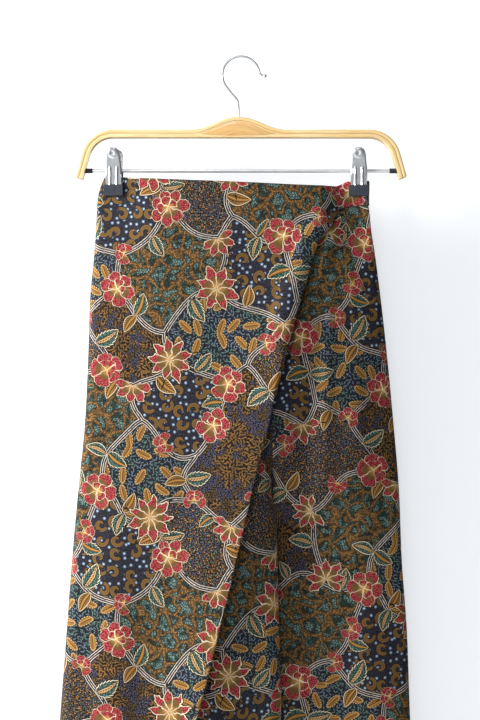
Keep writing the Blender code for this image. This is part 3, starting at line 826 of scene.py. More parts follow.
# Creases: the middle of each, how far it runs from there, its width, and how far it rises.
CREASES = Table(
    CREASE_COLUMNS,
    (214, 70, 46, -26, 7, 0.9),
    (232, 40, 60, -16, 6, -0.7),
    (236, -110, 30, 60, 8, 0.8),
    (262, 128, 10, 60, 7, 0.9),
    (330, -128, 12, 80, 9, -0.9),
    (372, -40, 70, 22, 8, 0.6),
    (398, 150, 14, 70, 8, -0.8),
    (470, -96, 20, 110, 10, 0.8),
    (540, 96, 26, 46, 8, -0.7),
    (560, 6, 34, -50, 8, 0.8),
    (655, -150, 24, 96, 9, 0.8),
    (700, 150, -18, 90, 10, 0.9),
    (716, -120, 90, 5, 3, 0.5),
    (722, -60, 60, -3, 3, -0.4),
    (760, -40, -30, 120, 10, -0.8),
    (820, 100, 16, 110, 10, -0.8),
    (900, -150, 20, 110, 10, 0.9),
    (930, 30, -10, 90, 9, 0.8),
)
BACK_CREASES = Table(
    CREASE_COLUMNS,
    (220, -70, 40, 30, 8, 0.9),
    (240, 60, 44, -28, 8, 0.8),
    (300, 20, 70, 16, 8, -0.7),
    (380, -120, 14, 80, 9, 0.8),
    (430, 120, -10, 90, 9, -0.8),
    (520, -20, 36, 44, 8, 0.9),
    (560, 60, -30, 46, 8, 0.8),
    (660, -130, 20, 110, 10, -0.9),
    (740, 140, -16, 100, 10, 0.9),
    (860, -60, 20, 110, 10, 0.8),
    (900, 80, -14, 100, 10, -0.8),
)

# %% Leg pieces
def half_places(step=STEP):
    """Places across a half: closer together where it rolls."""
    side = np.linspace(0, ROLL_SHARE, SIDE_PLACES)[:-1]
    flat = np.linspace(ROLL_SHARE, 1 - ROLL_SHARE, int(HALF_WIDE / step))
    centre = np.linspace(1 - ROLL_SHARE, 1, SIDE_PLACES + 1)[1:]
    return np.concatenate([side, flat, centre])


def outward_ordered(points, face):
    """Columns in the order that makes the faces point outwards: towards +X on the front."""
    rising = points[-1, 0, 0] < points[-1, -1, 0]
    return points if rising == (face == "front") else points[:, ::-1]


def levels_to_hem(top):
    """Levels from an edge down to the hem, close together in the hem's doubled cloth."""
    fine_from = HEM - HEM_FINE
    return np.concatenate([even_steps(top, fine_from, STEP)[:-1], even_steps(fine_from, HEM, HEM_STEP)])


def hem_relief(away, along):
    """How far a doubled hem stands up: a step at its stitching, with the seam's small puckers."""
    doubled = HEM_RISE * smooth((HEM_WIDE + HEM_SLOPE / 2 - away) / HEM_SLOPE)
    near_seam = np.exp(-((away - HEM_WIDE) / PUCKER_REACH) ** 2)
    wave = np.sin(2 * math.pi * along / PUCKER_PITCH + 1.3 * np.sin(along / PUCKER_DRIFT))
    return doubled + PUCKER * near_seam * wave


def crease(table, x, drop):
    """The sum of a table's creases at a place: soft lines at any slope, each a ridge or a trough."""
    total = np.zeros(np.shape(x + drop))
    for middle_drop, middle_x, run_x, run_drop, wide, rise in table.rows():
        length = math.hypot(run_x, run_drop)
        along = ((x - middle_x) * run_x + (drop - middle_drop) * run_drop) / length ** 2
        across = ((x - middle_x) * run_drop - (drop - middle_drop) * run_x) / length
        total = total + rise * np.exp(-(across / wide) ** 2) * smooth((1 - np.abs(along)) / CREASE_FADE)
    return total


def valley(x, drop):
    """The crease that the wrap's edge presses into the front under it, and the bank that rises beyond."""
    past = x - WRAP_EDGE.at("x", drop)
    bank = VALLEY.at("bank", drop) * np.exp(-((past - BANK_AT) / BANK_WIDE) ** 2)
    return bank - VALLEY.at("deep", drop) * np.exp(-((past - VALLEY_WIDE / 2) / VALLEY_WIDE) ** 2)


def on_panel(half, face, u, drop, above=0.0):
    """Points on a leg piece's outer face: sunk at its seams, doubled in its hem and lightly creased."""
    x, _ = section(half, face, u, drop)
    below_seam = drop - WAIST_EDGE.at("seam", x)
    sunk = SEAM_SINK * (smooth(1 - below_seam / SEAM_REACH) + smooth(1 - u * SIDE_SCALE))
    fine = crease(BACK_CREASES if face == "back" else CREASES, x, drop)
    if face == "front":
        fine = fine + valley(x, drop)
    fine = fine * smooth(u * SIDE_SCALE / 3) * smooth((1 - u) * CENTRE_SCALE)
    if half == "left":
        fine = fine + LEGS_MEET.at("out", drop) * smooth((u - 1 + MEET_SHARE) / MEET_SHARE)
    return skin(half, face, u, drop, hem_relief(HEM - drop, x) + fine - sunk + above)


def panel(half, face, straight_x, shift):
    """A leg piece, from the waistband's seam to the hem."""
    u = half_places(FINE_STEP if face == "front" else STEP)[None, :]
    levels = levels_to_hem(WAIST)[:, None]
    u, level = np.broadcast_arrays(u, levels)
    fade = 1 - eased(level, WAIST, LEVEL_BY)
    x, _ = section(half, face, u, level)
    drop = level + (WAIST_EDGE.at("seam", x) - WAIST) * fade
    points = outward_ordered(on_panel(half, face, u, drop), face)
    return cloth_object("cloth_" + face + "_" + half, points, straight_x, shift)

# %% The four leg pieces
front_right = panel("right", "front", -80 * MM, (60, 20))
front_left = panel("left", "front", 120 * MM, (10, 180))
back_right = panel("right", "back", -80 * MM, (140, 130))
back_left = panel("left", "back", 110 * MM, (20, 250))

# %% [markdown]
# ## The wrap panel
#
# The wrap is the pants' own front again, a little further out, from the right side seam to a free edge
# that swings down and across. Its columns are set from that edge, close together in the hem, so that
# the doubled cloth and the pull of its stitching can be shaped and not only painted.

# %% The whole front
LIFT_REACH = 85 * MM
CURL_REACH = 30 * MM
FLARE = 2.2 * MM
FLARE_REACH = 26 * MM
FLARE_FROM = 320 * MM
FLARE_GROWS = 90 * MM
LEAST_ROLL = 0.1 * MM
EDGE_ZONE = 30 * MM
WRAP_COLUMNS = 90
EDGE_COLUMNS = 30


def whole_front(a, drop, out=None):
    """The front from the right side seam, 0, over the centre, 1, to the left side seam, 2."""
    on_right, u_right, u_left = a <= 1, np.clip(a, 0, 1), np.clip(2 - a, 0, 1)
    if out is None:
        right = section("right", "front", u_right, drop)
        left = section("left", "front", u_left, drop)
        return np.where(on_right, right[0], left[0])
    right = skin("right", "front", u_right, drop, out)
    left = skin("left", "front", u_left, drop, out)
    return np.where(on_right[..., None], right, left)


def across_to(x, drop):
    """The place across the whole front that lies at x, found by halving."""
    low, high = np.zeros(np.shape(x)), np.full(np.shape(x), 2.0)
    for _ in range(30):
        middle = (low + high) / 2
        short = whole_front(middle, drop) < x
        low, high = np.where(short, middle, low), np.where(short, high, middle)
    return (low + high) / 2


# %% The wrap's lift, roll and cloth
def wrap_lift(x, drop):
    """How far the wrap stands off the pants: its free edge lifts, and higher up it rolls under."""
    away = WRAP_EDGE.at("x", drop) - x
    lift = WRAP_EDGE.at("lift", drop) * smooth(1 - away / LIFT_REACH)
    flare = FLARE * np.clip(1 - away / FLARE_REACH, 0, 1) ** 2
    lift = lift + flare * smooth((drop - FLARE_FROM) / FLARE_GROWS)
    roll = WRAP_EDGE.at("curl", drop) * np.sin(math.pi * np.clip(away / CURL_REACH, 0, 1))
    roll = roll + ROLLED_EDGE.at("rise", drop) * smooth(1 - away / RISE_REACH)
    return WRAP_CLEARANCE + (lift + roll) * (1 - pinch(x, drop)[0])


def rolled(away, drop):
    """How far the last of the wrap falls and draws back, as its edge rolls over towards the pants."""
    reach = ROLLED_EDGE.at("reach", drop)
    share = np.clip((reach - away) / np.maximum(reach, LEAST_ROLL), 0, 1)
    fall = np.cumsum(np.sin(ROLL_ANGLE)) * ROLL_STEPS[1]
    back = np.cumsum(1 - np.cos(ROLL_ANGLE)) * ROLL_STEPS[1]
    ahead = (1 - np.max(ROLL_STEPS - back)) * smooth(1 - away / EDGE_ZONE)
    return reach * np.interp(share, ROLL_STEPS, fall), reach * (np.interp(share, ROLL_STEPS, back) - ahead)


def on_wrap(a, drop, above=0.0):
    """Points on the wrap's outer face, or a little above it, with its two hems and its creases."""
    x = whole_front(a, drop)
    away = WRAP_EDGE.at("x", drop) - x
    hems = hem_relief(away, drop) + hem_relief(HEM - drop, x)
    fall, back = rolled(away, drop)
    points = whole_front(a, drop, wrap_lift(x, drop) + CLOTH + hems + crease(CREASES, x, drop) + above - fall)
    points[..., 0] -= back
    return points


def wrap_points():
    top = WAIST_EDGE.at("top", 0.0)
    level = levels_to_hem(top)[:, None]
    edge_x = WRAP_EDGE.at("x", level)
    first = across_to(edge_x - EDGE_ZONE, level)
    roll = np.linspace(0, ROLL_SHARE, SIDE_PLACES)[None, :-1]
    inner = np.broadcast_to(roll, (len(level), roll.shape[1]))
    middle = ROLL_SHARE + (first - ROLL_SHARE) * np.linspace(0, 1, WRAP_COLUMNS)[None, :-1]
    hem = EDGE_ZONE * np.linspace(1, 0, EDGE_COLUMNS)[None, :] ** 1.5
    outer = across_to(edge_x - hem, level + 0 * hem)
    a = np.concatenate([inner, middle, outer], axis=1)
    fade = 1 - eased(level, top, LEVEL_BY)
    x = whole_front(a, level + 0 * a)
    return on_wrap(a, level + (WAIST_EDGE.at("top", x) - top) * fade)


wrap = cloth_object("cloth_wrap", wrap_points(), -60 * MM, (150, 60))
print("wrap's cloth:", len(wrap.data.polygons), "quads")

# %% [markdown]
# ## The waistband
#
# The band is one straight strip folded over the top, sewn to the legs along a seam that shows as a dark
# line. Front and back bands meet at the side seams.

# %% Waistband
BAND_SHELL = 1.3 * MM
BAND_ROWS = 13


def band(face, straight_x):
    u = half_places()
    share = np.linspace(0, 1, BAND_ROWS)[:, None]
    made = []
    for half, places in (("right", u), ("left", u[::-1][1:])):
        places, down = np.broadcast_arrays(places[None, :], share)
        x, _ = section(half, face, places, np.full(places.shape, WAIST))
        drop = mix(WAIST_EDGE.at("top", x), WAIST_EDGE.at("seam", x), down)
        made.append(skin(half, face, places, drop, 0))
    points = outward_ordered(np.concatenate(made, axis=1), face)
    return cloth_object("cloth_band_" + face, points, straight_x, (90, 40), BAND_SHELL)


band_front = band("front", 100 * MM)
band_back = band("back", 0.0)

# %% [markdown]
# ## The bent-wood beam
#
# The beam is two strips of wood, bent over a lens-shaped inlay and glued. Each is made as a shop makes it: an
# outline that follows the bend is pushed out to the beam's depth, and its long edges are rounded over. The
# edges along the glue stay crisp, so the glue shows between the strips as a fine brown line.

# %% The line of the bend
GLUE_DROP = 92.0 * MM
STRIP_UPPER = 4.8 * MM
STRIP_LOWER = 4.5 * MM
GLUE_HALF = 0.15 * MM
BEAM_DEPTH = 12 * MM
BEAM_STRAIGHT = 153.5 * MM
ARM_RADIUS = 33.5 * MM
ARM_TURN = math.radians(74)
ARM_RUN = 30 * MM
STEM_X = -3.0 * MM
HUMP_RISE = 15.3 * MM
HUMP_HALF = 56 * MM
BEND_POINTS = 16
ARM_POINTS = 9
BEAM_STEP = 2 * MM


def hump(x):
    """How far the strips rise over the inlay."""
    away = np.clip(np.abs(x - STEM_X) / HUMP_HALF, 0, 1)
    return HUMP_RISE * np.cos(away * math.pi / 2) ** 2


def beam_line():
    """The x and z of the glue line, from the right arm's tip to the left one's, and the way out at each."""
    turn = np.linspace(ARM_TURN, 0, BEND_POINTS)
    run = np.linspace(ARM_RUN, 0, ARM_POINTS)[:-1]
    bend_x = BEAM_STRAIGHT + ARM_RADIUS * np.sin(turn)
    bend_z = ARM_RADIUS * (np.cos(turn) - 1)
    arm_x = np.concatenate([bend_x[0] + run * math.cos(ARM_TURN), bend_x])
    arm_z = np.concatenate([bend_z[0] - run * math.sin(ARM_TURN), bend_z])
    level = even_steps(-BEAM_STRAIGHT, BEAM_STRAIGHT, BEAM_STEP)[1:-1]
    x = np.concatenate([-arm_x, level, arm_x[::-1]])
    z = np.concatenate([arm_z, hump(level), arm_z[::-1]]) - GLUE_DROP
    line = np.stack([x, z], axis=1)
    ahead = unit(np.gradient(line, axis=0))
    return line, np.stack([-ahead[:, 1], ahead[:, 0]], axis=1)


def along_beam(places):
    """How far along the glue line each x and z lies, and how far outside it."""
    line, out = beam_line()
    lengths = run_along(line)
    nearest = np.argmin(np.linalg.norm(places[:, None] - line[None], axis=2), axis=1)
    off, way = places - line[nearest], out[nearest]
    return lengths[nearest] + off[:, 0] * way[:, 1] - off[:, 1] * way[:, 0], np.sum(off * way, axis=1)


# %% Rounding edges and keeping a piece
SHARP = math.radians(50)
SMOOTHED = math.radians(40)


def round_edges(bm, width, segments, picked=None):
    """Bevels the sharp edges, or those whose middles a test picks."""
    edges = [e for e in bm.edges if e.is_manifold and e.calc_face_angle() > SHARP]
    if picked:
        middles = np.array([(e.verts[0].co + e.verts[1].co) / 2 for e in edges])
        edges = [e for e, chosen in zip(edges, picked(middles)) if chosen]
    bmesh.ops.bevel(bm, geom=edges, offset=width, segments=segments, profile=0.5, affect="EDGES",
                    material=-1, clamp_overlap=True)


def keep(name, bm, node=None):
    """A finished piece from a bmesh, which stands for a node of the CAD model."""
    made = object_from(name, bm)
    made.data.shade_smooth()
    made.data.set_sharp_from_angle(angle=SMOOTHED)
    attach(made, "root")
    if node:
        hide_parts(node)
    return made


# %% Strips, glue and inlay
OUTER_ROUND = 1.5 * MM
CRISP_ROUND = 0.2 * MM
CRISP_WITHIN = 1.0 * MM
INLAY_HALF = 46 * MM
INLAY_FLOOR = 2.6 * MM
INLAY_TIP = 2.2 * MM
POCKET_PAST = 2 * MM
INLAY_STRIP = 1.5 * MM
INLAY_GAP = 0.1 * MM
INLAY_BACK = 0.2 * MM
GLUE_BACK = 0.1 * MM
GLUE_FILLED = 0.8
MERGE = 0.02 * MM


def lens(x):
    """The crown and the floor of the inlay."""
    away = np.clip(np.abs(x - STEM_X) / INLAY_HALF, 0, 1)
    floor = -GLUE_DROP - INLAY_FLOOR + INLAY_TIP * away ** 3
    room = np.maximum(hump(x) - GLUE_DROP - INLAY_STRIP - floor, 0)
    return floor + room * np.sqrt(1 - away ** 6), floor


def crisp(middles):
    """Picks edges along the glue line and round the inlay's pocket."""
    _, across = along_beam(middles[:, [0, 2]])
    in_pocket = np.abs(middles[:, 0] - STEM_X) < INLAY_HALF + POCKET_PAST
    above_floor = middles[:, 2] > -GLUE_DROP - STRIP_LOWER + CRISP_WITHIN
    return (np.abs(across) < CRISP_WITHIN) | (in_pocket & above_floor & (across < 0))


def beam_piece(name, bands, depth, node=None):
    """Part of the beam from bands of its front outline, which merge where they meet."""
    bm = bmesh.new()
    for band in bands:
        rows = np.stack(band)
        front = np.full(rows.shape[:2] + (1,), -depth / 2)
        laid_grid(bm, np.concatenate([rows[..., :1], front, rows[..., 1:]], axis=2))
    bmesh.ops.remove_doubles(bm, verts=bm.verts, dist=MERGE)
    grown = bmesh.ops.extrude_face_region(bm, geom=bm.faces[:])["geom"]
    moved = [item for item in grown if isinstance(item, bmesh.types.BMVert)]
    bmesh.ops.translate(bm, verts=moved, vec=(0, depth, 0))
    bmesh.ops.recalc_face_normals(bm, faces=bm.faces)
    round_edges(bm, CRISP_ROUND, 2, crisp)
    round_edges(bm, OUTER_ROUND, 4)
    made = keep(name, bm, node)
    places = np.array([v.co for v in made.data.vertices])
    along, across = along_beam(places[:, [0, 2]])
    grain = made.data.attributes.new("grain", "FLOAT_VECTOR", "POINT")
    grain.data.foreach_set("vector", np.stack([along, places[:, 1], across], axis=1).ravel())
    return made


# %% The four beam pieces
line, out = beam_line()
line_x = line[:, 0]
glue_top, glue_bottom = line + out * GLUE_HALF, line - out * GLUE_HALF
upper_face = line + out * STRIP_UPPER
lower_face = line - out * STRIP_LOWER
over_inlay = np.abs(line_x - STEM_X) < HUMP_HALF
straight = np.stack([line_x, np.full(len(line_x), -GLUE_DROP - STRIP_LOWER)], 1)
lower_face[over_inlay] = straight[over_inlay]
in_lens = np.abs(line_x - STEM_X) < INLAY_HALF
crown, floor = lens(line_x)
pocket_top, pocket_bottom = (mix(glue_bottom, lower_face, 0.5) for _ in range(2))
pocket_top[in_lens] = np.stack([line_x, crown + INLAY_GAP], 1)[in_lens]
pocket_bottom[in_lens] = np.stack([line_x, floor - INLAY_GAP], 1)[in_lens]
inlay_band = [np.stack([line_x[in_lens], edge[in_lens]], 1) for edge in (crown, floor)]
glue_band = [mix(line, edge, GLUE_FILLED) for edge in (glue_top, glue_bottom)]

strip_top = beam_piece("strip_top", [(upper_face, glue_top)], BEAM_DEPTH, "hanger_beam_top")
strip_under = beam_piece("strip_under", [(glue_bottom, pocket_top), (pocket_bottom, lower_face)], BEAM_DEPTH,
                         "hanger_beam_under")
glue_line = beam_piece("glue_line", [glue_band], BEAM_DEPTH - GLUE_BACK)
inlay = beam_piece("inlay", [inlay_band], BEAM_DEPTH - INLAY_BACK, "hanger_inlay")
BEAM_PIECES = (strip_top, strip_under, glue_line, inlay)
print("beam:", sum(len(piece.data.polygons) for piece in BEAM_PIECES), "faces")

# %% [markdown]
# ## Rod, caps and hook
#
# The rod, its end caps and the clips' sleeves are round, so each is an outline spun about the rod's line.
# A cap's outer end is sliced where it meets the slanting arm. The hook is one bent wire, so it is a curve
# through the bend's own points, given the wire's thickness and turned into a mesh with a ball at its tip.

# %% Turned pieces
ROD_DROP = 136.1 * MM
ROD_RADIUS = 2.1 * MM
ROD_HALF = 182 * MM
CAP_RADIUS = 3.0 * MM
CAP_MOUTH = 178 * MM
CAP_FAR = 194 * MM
CAP_LIP = 0.5 * MM
CAP_GROOVES = (2.6, 4.0, 5.4)
GROOVE = 0.25 * MM
SLEEVE_RADIUS = 4.2 * MM
SLEEVE_HALF = 4 * MM
SEAM_GAP = 0.3 * MM
CLEAR = 0.3 * MM
BORE = ROD_RADIUS + CLEAR
TURN_STEPS = 48
WELD = 0.01 * MM


def turned(name, profile, slot, node, closed=False, place=0.0, cut_face=None):
    """A piece spun about the rod's line from an outline of (x, radius)."""
    bm = bmesh.new()
    verts = [bm.verts.new((x, 0, radius)) for x, radius in profile]
    edges = [bm.edges.new(pair) for pair in zip(verts, verts[1:] + verts[:1] if closed else verts[1:])]
    bmesh.ops.spin(bm, geom=verts + edges, axis=(1, 0, 0), cent=(0, 0, 0), steps=TURN_STEPS,
                   angle=2 * math.pi, use_merge=True)
    bmesh.ops.remove_doubles(bm, verts=bm.verts, dist=WELD)
    bmesh.ops.recalc_face_normals(bm, faces=bm.faces)
    if cut_face:
        point, direction = cut_face
        whole = bm.verts[:] + bm.edges[:] + bm.faces[:]
        cut = bmesh.ops.bisect_plane(bm, geom=whole, dist=0.001 * MM, plane_co=point, plane_no=direction,
                                     clear_outer=True)
        rim = [item for item in cut["geom_cut"] if isinstance(item, bmesh.types.BMEdge)]
        bmesh.ops.contextual_create(bm, geom=rim)
    bmesh.ops.translate(bm, verts=bm.verts, vec=(place, 0, -ROD_DROP))
    return keep(name, bm, node)


def blunt_outline(half, inner, radius, blunt):
    """The outline of a straight round piece whose two ends are blunted."""
    end = [(half - blunt, radius), (half, radius - blunt), (half, inner)]
    return [(-x, r) for x, r in reversed(end)] + end


def cap_outline(side):
    """A cap's outline: its floor, its bore, a rounded mouth and three grip grooves."""
    outline = [(ROD_HALF + CLEAR, 0), (ROD_HALF + CLEAR, BORE), (CAP_MOUTH + CAP_LIP, BORE)]
    for a in np.linspace(math.pi, math.pi / 2, 4):
        outline.append((CAP_MOUTH + CAP_LIP * (1 + math.cos(a)), CAP_RADIUS - CAP_LIP * (1 - math.sin(a))))
    for groove in CAP_GROOVES:
        middle = CAP_MOUTH + groove * MM
        for off in (-GROOVE, 0, GROOVE):
            outline.append((middle + off, CAP_RADIUS - (GROOVE - abs(off))))
    outline += [(CAP_FAR, CAP_RADIUS), (CAP_FAR, 0)]
    return [(side * x, radius) for x, radius in outline]


# %% Rod, caps and sleeves
rod = turned("rod", blunt_outline(ROD_HALF, 0, ROD_RADIUS, 0.4 * MM), "hanger_steel", "hanger_rod")
arm_tip_x = BEAM_STRAIGHT + ARM_RADIUS * math.sin(ARM_TURN)
arm_tip_drop = GLUE_DROP + ARM_RADIUS * (1 - math.cos(ARM_TURN))
caps = []
for side, label in ((-1, "right"), (1, "left")):
    face_out = Vector((side * math.sin(ARM_TURN), 0, math.cos(ARM_TURN)))
    on_face = Vector((side * arm_tip_x, 0, ROD_DROP - arm_tip_drop)) - face_out * (STRIP_LOWER + SEAM_GAP)
    caps.append(turned("cap_" + label, cap_outline(side), "cap_plastic", "rod_cap_" + label,
                       cut_face=(on_face, face_out)))
sleeve_outline = blunt_outline(SLEEVE_HALF, BORE, SLEEVE_RADIUS, 0.5 * MM)
sleeves = [turned("sleeve_" + label, sleeve_outline, "hanger_steel", "clip_sleeve_" + label, closed=True,
                  place=clip_x)
           for label, clip_x in CLIP_X.items()]

# %% The route of the wire hook
HOOK_RADIUS = 22.4 * MM
HOOK_WIRE = 1.35 * MM
HOOK_TOP = 1.4 * MM
HOOK_LEAVES = math.radians(215)
HOOK_ENDS = math.radians(5)
HOOK_BALL = 2.1 * MM
NECK_POINTS = 30
ARC_POINTS = 90
TIP_POINTS = 10
SMOOTHINGS = 6
# The wire rises straight from the beam and then leans aside, towards -X, to where the arc starts.
NECK = Table(
    "drop aside",
    (40.6, 10.0),
    (46, 5.4),
    (49.5, 2.4),
    (53.5, 0.6),
    (58, 0),
    (63, 0),
)
# Past the arc the tip flicks outwards, and a little down.
TIP = Table(
    "x drop",
    (22.9, 20.2),
    (24.4, 21.2),
    (27.0, 21.9),
    (28.8, 22.2),
)


def hook_route():
    """The wire's x and z: up from the beam, round the arc, and out at the tip."""
    foot = GLUE_DROP - HUMP_RISE - STRIP_UPPER - SEAM_GAP
    drops = np.linspace(foot, NECK.places[0], NECK_POINTS)
    neck = np.stack([STEM_X - NECK.at("aside", drops), -drops], axis=1)
    angles = np.linspace(HOOK_LEAVES, HOOK_ENDS, ARC_POINTS)
    arc = HOOK_RADIUS * np.stack([np.cos(angles), np.sin(angles)], axis=1)
    arc[:, 1] += HOOK_TOP - HOOK_RADIUS
    xs = np.linspace(TIP.places[0], TIP.places[-1], TIP_POINTS)
    tip = np.stack([xs, -TIP.at("drop", xs)], axis=1)
    route = np.concatenate([neck, arc, tip])
    for _ in range(SMOOTHINGS):
        route[1:-1] = (route[:-2] + 2 * route[1:-1] + route[2:]) / 4
    return route


# %% The wire hook
wire = bpy.data.curves.new("hook_wire", "CURVE")
wire.dimensions = "3D"
wire.bevel_depth = HOOK_WIRE
wire.bevel_resolution = 5
wire.use_fill_caps = True
route = hook_route()
spline = wire.splines.new("POLY")
spline.points.add(len(route) - 1)
for point, (x, z) in zip(spline.points, route):
    point.co = (x, 0, z, 1)
guide = bpy.data.objects.new("hook_guide", wire)
bm = bmesh.new()
bm.from_mesh(guide.to_mesh())
bpy.data.objects.remove(guide)
bmesh.ops.remove_doubles(bm, verts=bm.verts, dist=WELD)
ball_at = Matrix.Translation((route[-1][0], 0, route[-1][1]))
bmesh.ops.create_uvsphere(bm, u_segments=24, v_segments=16, radius=HOOK_BALL, matrix=ball_at)
hook = keep("hook", bm, "hanger_hook")
print("hook:", len(hook.data.polygons), "faces")

# %% [markdown]
# ## The clips
#
# Each jaw is pressed from one plate: a round finger tab with a domed boss and a pit in its middle, two
# flutes that stiffen it down to the rubber, and side edges turned in. A press forms a flat blank, so a flat
# grid is formed here by the same sizes, and Solidify gives it the plate's gauge. The rubber pads are blocks
# notched where the flutes bite.

# %% The form of a jaw plate
PLATE = 1.0 * MM
PLATE_TOP = 108.8 * MM
PLATE_BOTTOM = 153.2 * MM
PLATE_ROUND = 8.1 * MM
PLATE_WIDE = 9.6 * MM
PLATE_LEAN = 6 * MM
PLATE_STEP = 0.5 * MM
PLATE_COLUMNS = 57
TAB_ROWS = 18
TAB_START = math.radians(8)
SLEEVE_REACH = 5.05 * MM
FLUTE_TOP = 130.5 * MM
FLUTE_FULL = 134 * MM
FLUTE_AT = 4.2 * MM
FLUTE_HALF = 1.9 * MM
FLUTE_RISE = 1.0 * MM
TONGUE = 1.1 * MM
BOSS_DROP = 116.3 * MM
BOSS_RADIUS = 6.1 * MM
BOSS_RISE = 1.2 * MM
PIT = 1.3 * MM
PIT_SHARE = 0.62
EDGE_TURN = 1.3 * MM
EDGE_FADE = 8 * MM


def flute(x):
    """1 along the middle of a flute, 0 away from both."""
    off = np.clip(np.abs(np.abs(x) - FLUTE_AT) / FLUTE_HALF, 0, 1)
    return np.cos(off * math.pi / 2) ** 2


def plate_form(jaw, facing):
    """A jaw plate's outer face, about the clip's own middle."""
    turn = np.linspace(TAB_START, math.pi / 2, TAB_ROWS)
    tab = PLATE_TOP + PLATE_ROUND * (1 - np.cos(turn))
    below = even_steps(tab[-1], PLATE_BOTTOM, PLATE_STEP)[1:]
    drop = np.concatenate([tab, below])[:, None]
    grown = mix(PLATE_ROUND, PLATE_WIDE, eased(below, tab[-1], ROD_DROP))
    half = np.concatenate([PLATE_ROUND * np.sin(turn), grown])[:, None]
    x = np.linspace(-1, 1, PLATE_COLUMNS)[None, :] * half
    leaning = SLEEVE_REACH + PLATE_LEAN * np.maximum(FLUTE_FULL - drop, 0) / (FLUTE_FULL - PLATE_TOP)
    closing = mix(SLEEVE_REACH, jaw, eased(drop, ROD_DROP, PLATE_BOTTOM))
    off = np.where(drop > ROD_DROP, closing, leaning) + PLATE
    off = off + FLUTE_RISE * flute(x) * eased(drop, FLUTE_TOP, FLUTE_FULL)
    from_boss = np.hypot(x, drop - BOSS_DROP) / BOSS_RADIUS
    off += BOSS_RISE * np.sqrt(np.clip(1 - from_boss ** 2, 0, 1))
    off -= PIT * smooth(1 - from_boss / PIT_SHARE)
    above_rod = 1 - smooth((drop - ROD_DROP) / EDGE_FADE)
    off -= EDGE_TURN * smooth((np.abs(x) - half) / EDGE_TURN + 1) * above_rod
    drop = drop + TONGUE * flute(x) * smooth((drop - PLATE_BOTTOM) / TONGUE + 1)
    form = np.stack([x, facing * off, -drop], axis=-1)
    return form if facing < 0 else form[:, ::-1]


# %% Jaw plates and pads
PLATE_EDGE = 0.3 * MM
PAD_WIDTH = 24 * MM
PAD_TOP = 153.5 * MM
PAD_BOTTOM = 166.7 * MM
PAD_THICK = 3.2 * MM
PAD_ROUND = 0.6 * MM
PAD_CUTS = 47
NOTCH = 1.4 * MM
PIP = 0.8 * MM


def stand(bm, clip_x):
    """Turns a piece made about the clip's own middle to the clip's angle, and sets it on the rod."""
    turn = Matrix.Translation((clip_x, 0, 0)) @ Matrix.Rotation(-CLIP_TURN, 4, "Z")
    bmesh.ops.transform(bm, matrix=turn, verts=bm.verts)


def jaw_plate(face, side, jaw, facing):
    bm = bmesh.new()
    laid_grid(bm, plate_form(jaw, facing))
    stand(bm, CLIP_X[side])
    made = keep("plate_" + face + "_" + side, bm, "clip_" + face + "_plate_" + side)
    thicken(made, "gauge", PLATE)
    edge = made.modifiers.new("edge", "BEVEL")
    edge.width = PLATE_EDGE
    edge.segments = 3
    edge.angle_limit = SHARP
    return made


def jaw_pad(face, side, jaw, facing):
    """A rubber block with rounded edges, notches under the flutes and a small moulded pip."""
    bm = bmesh.new()
    bmesh.ops.create_cube(bm, size=1)
    bmesh.ops.scale(bm, verts=bm.verts, vec=(PAD_WIDTH, PAD_THICK, PAD_BOTTOM - PAD_TOP))
    long_edges = [e for e in bm.edges if abs(e.verts[0].co.x - e.verts[1].co.x) > PAD_WIDTH / 2]
    bmesh.ops.subdivide_edges(bm, edges=long_edges, cuts=PAD_CUTS, use_grid_fill=True)
    for vert in bm.verts:
        if vert.co.z > 0:
            vert.co.z -= NOTCH * float(flute(vert.co.x))
    round_edges(bm, PAD_ROUND, 3)
    bmesh.ops.create_uvsphere(bm, u_segments=12, v_segments=8, radius=PIP,
                              matrix=Matrix.Translation((0, facing * (PAD_THICK / 2 - PIP / 3), 0)))
    place = (0, facing * (jaw + PAD_THICK / 2), -(PAD_TOP + PAD_BOTTOM) / 2)
    bmesh.ops.translate(bm, verts=bm.verts, vec=place)
    stand(bm, CLIP_X[side])
    return keep("pad_" + face + "_" + side, bm, "clip_" + face + "_pad_" + side)


plates, pads = [], []
for side in ("right", "left"):
    layers = WRAP_CLEARANCE + CLOTH if side == "right" else 0
    for face, facing, stack in (("front", -1, PINCH_HALF + layers), ("back", 1, PINCH_HALF)):
        jaw = stack + SEAM_GAP
        plates.append(jaw_plate(face, side, jaw + (PAD_THICK - PLATE) / 2, facing))
        pads.append(jaw_pad(face, side, jaw, facing))
print("clips:", len(plates), "plates,", len(pads), "pads")

# %% [markdown]
# ## Stitches
#
# Each hem is held by a row of machine stitches, and so are the wrap's free edge and the foot of the band. A
# stitch is a small ball stretched along the row. All of them are made in one mesh, and each is laid on the
# cloth by its own matrix: where it starts and ends, and which way is out.

# %% Rows of stitches
STITCH_PITCH = 3.0 * MM
STITCH_LENGTH = 2.2 * MM
STITCH_THICK = 0.36 * MM
ABOVE_CLOTH = 0.1 * MM
TO_SEE_OUT = 1 * MM
ROW_POINTS = 120
BAND_POINTS = 60
BAND_ROW_UP = 2.2 * MM
ROW_END = 0.02
PLANNED = []


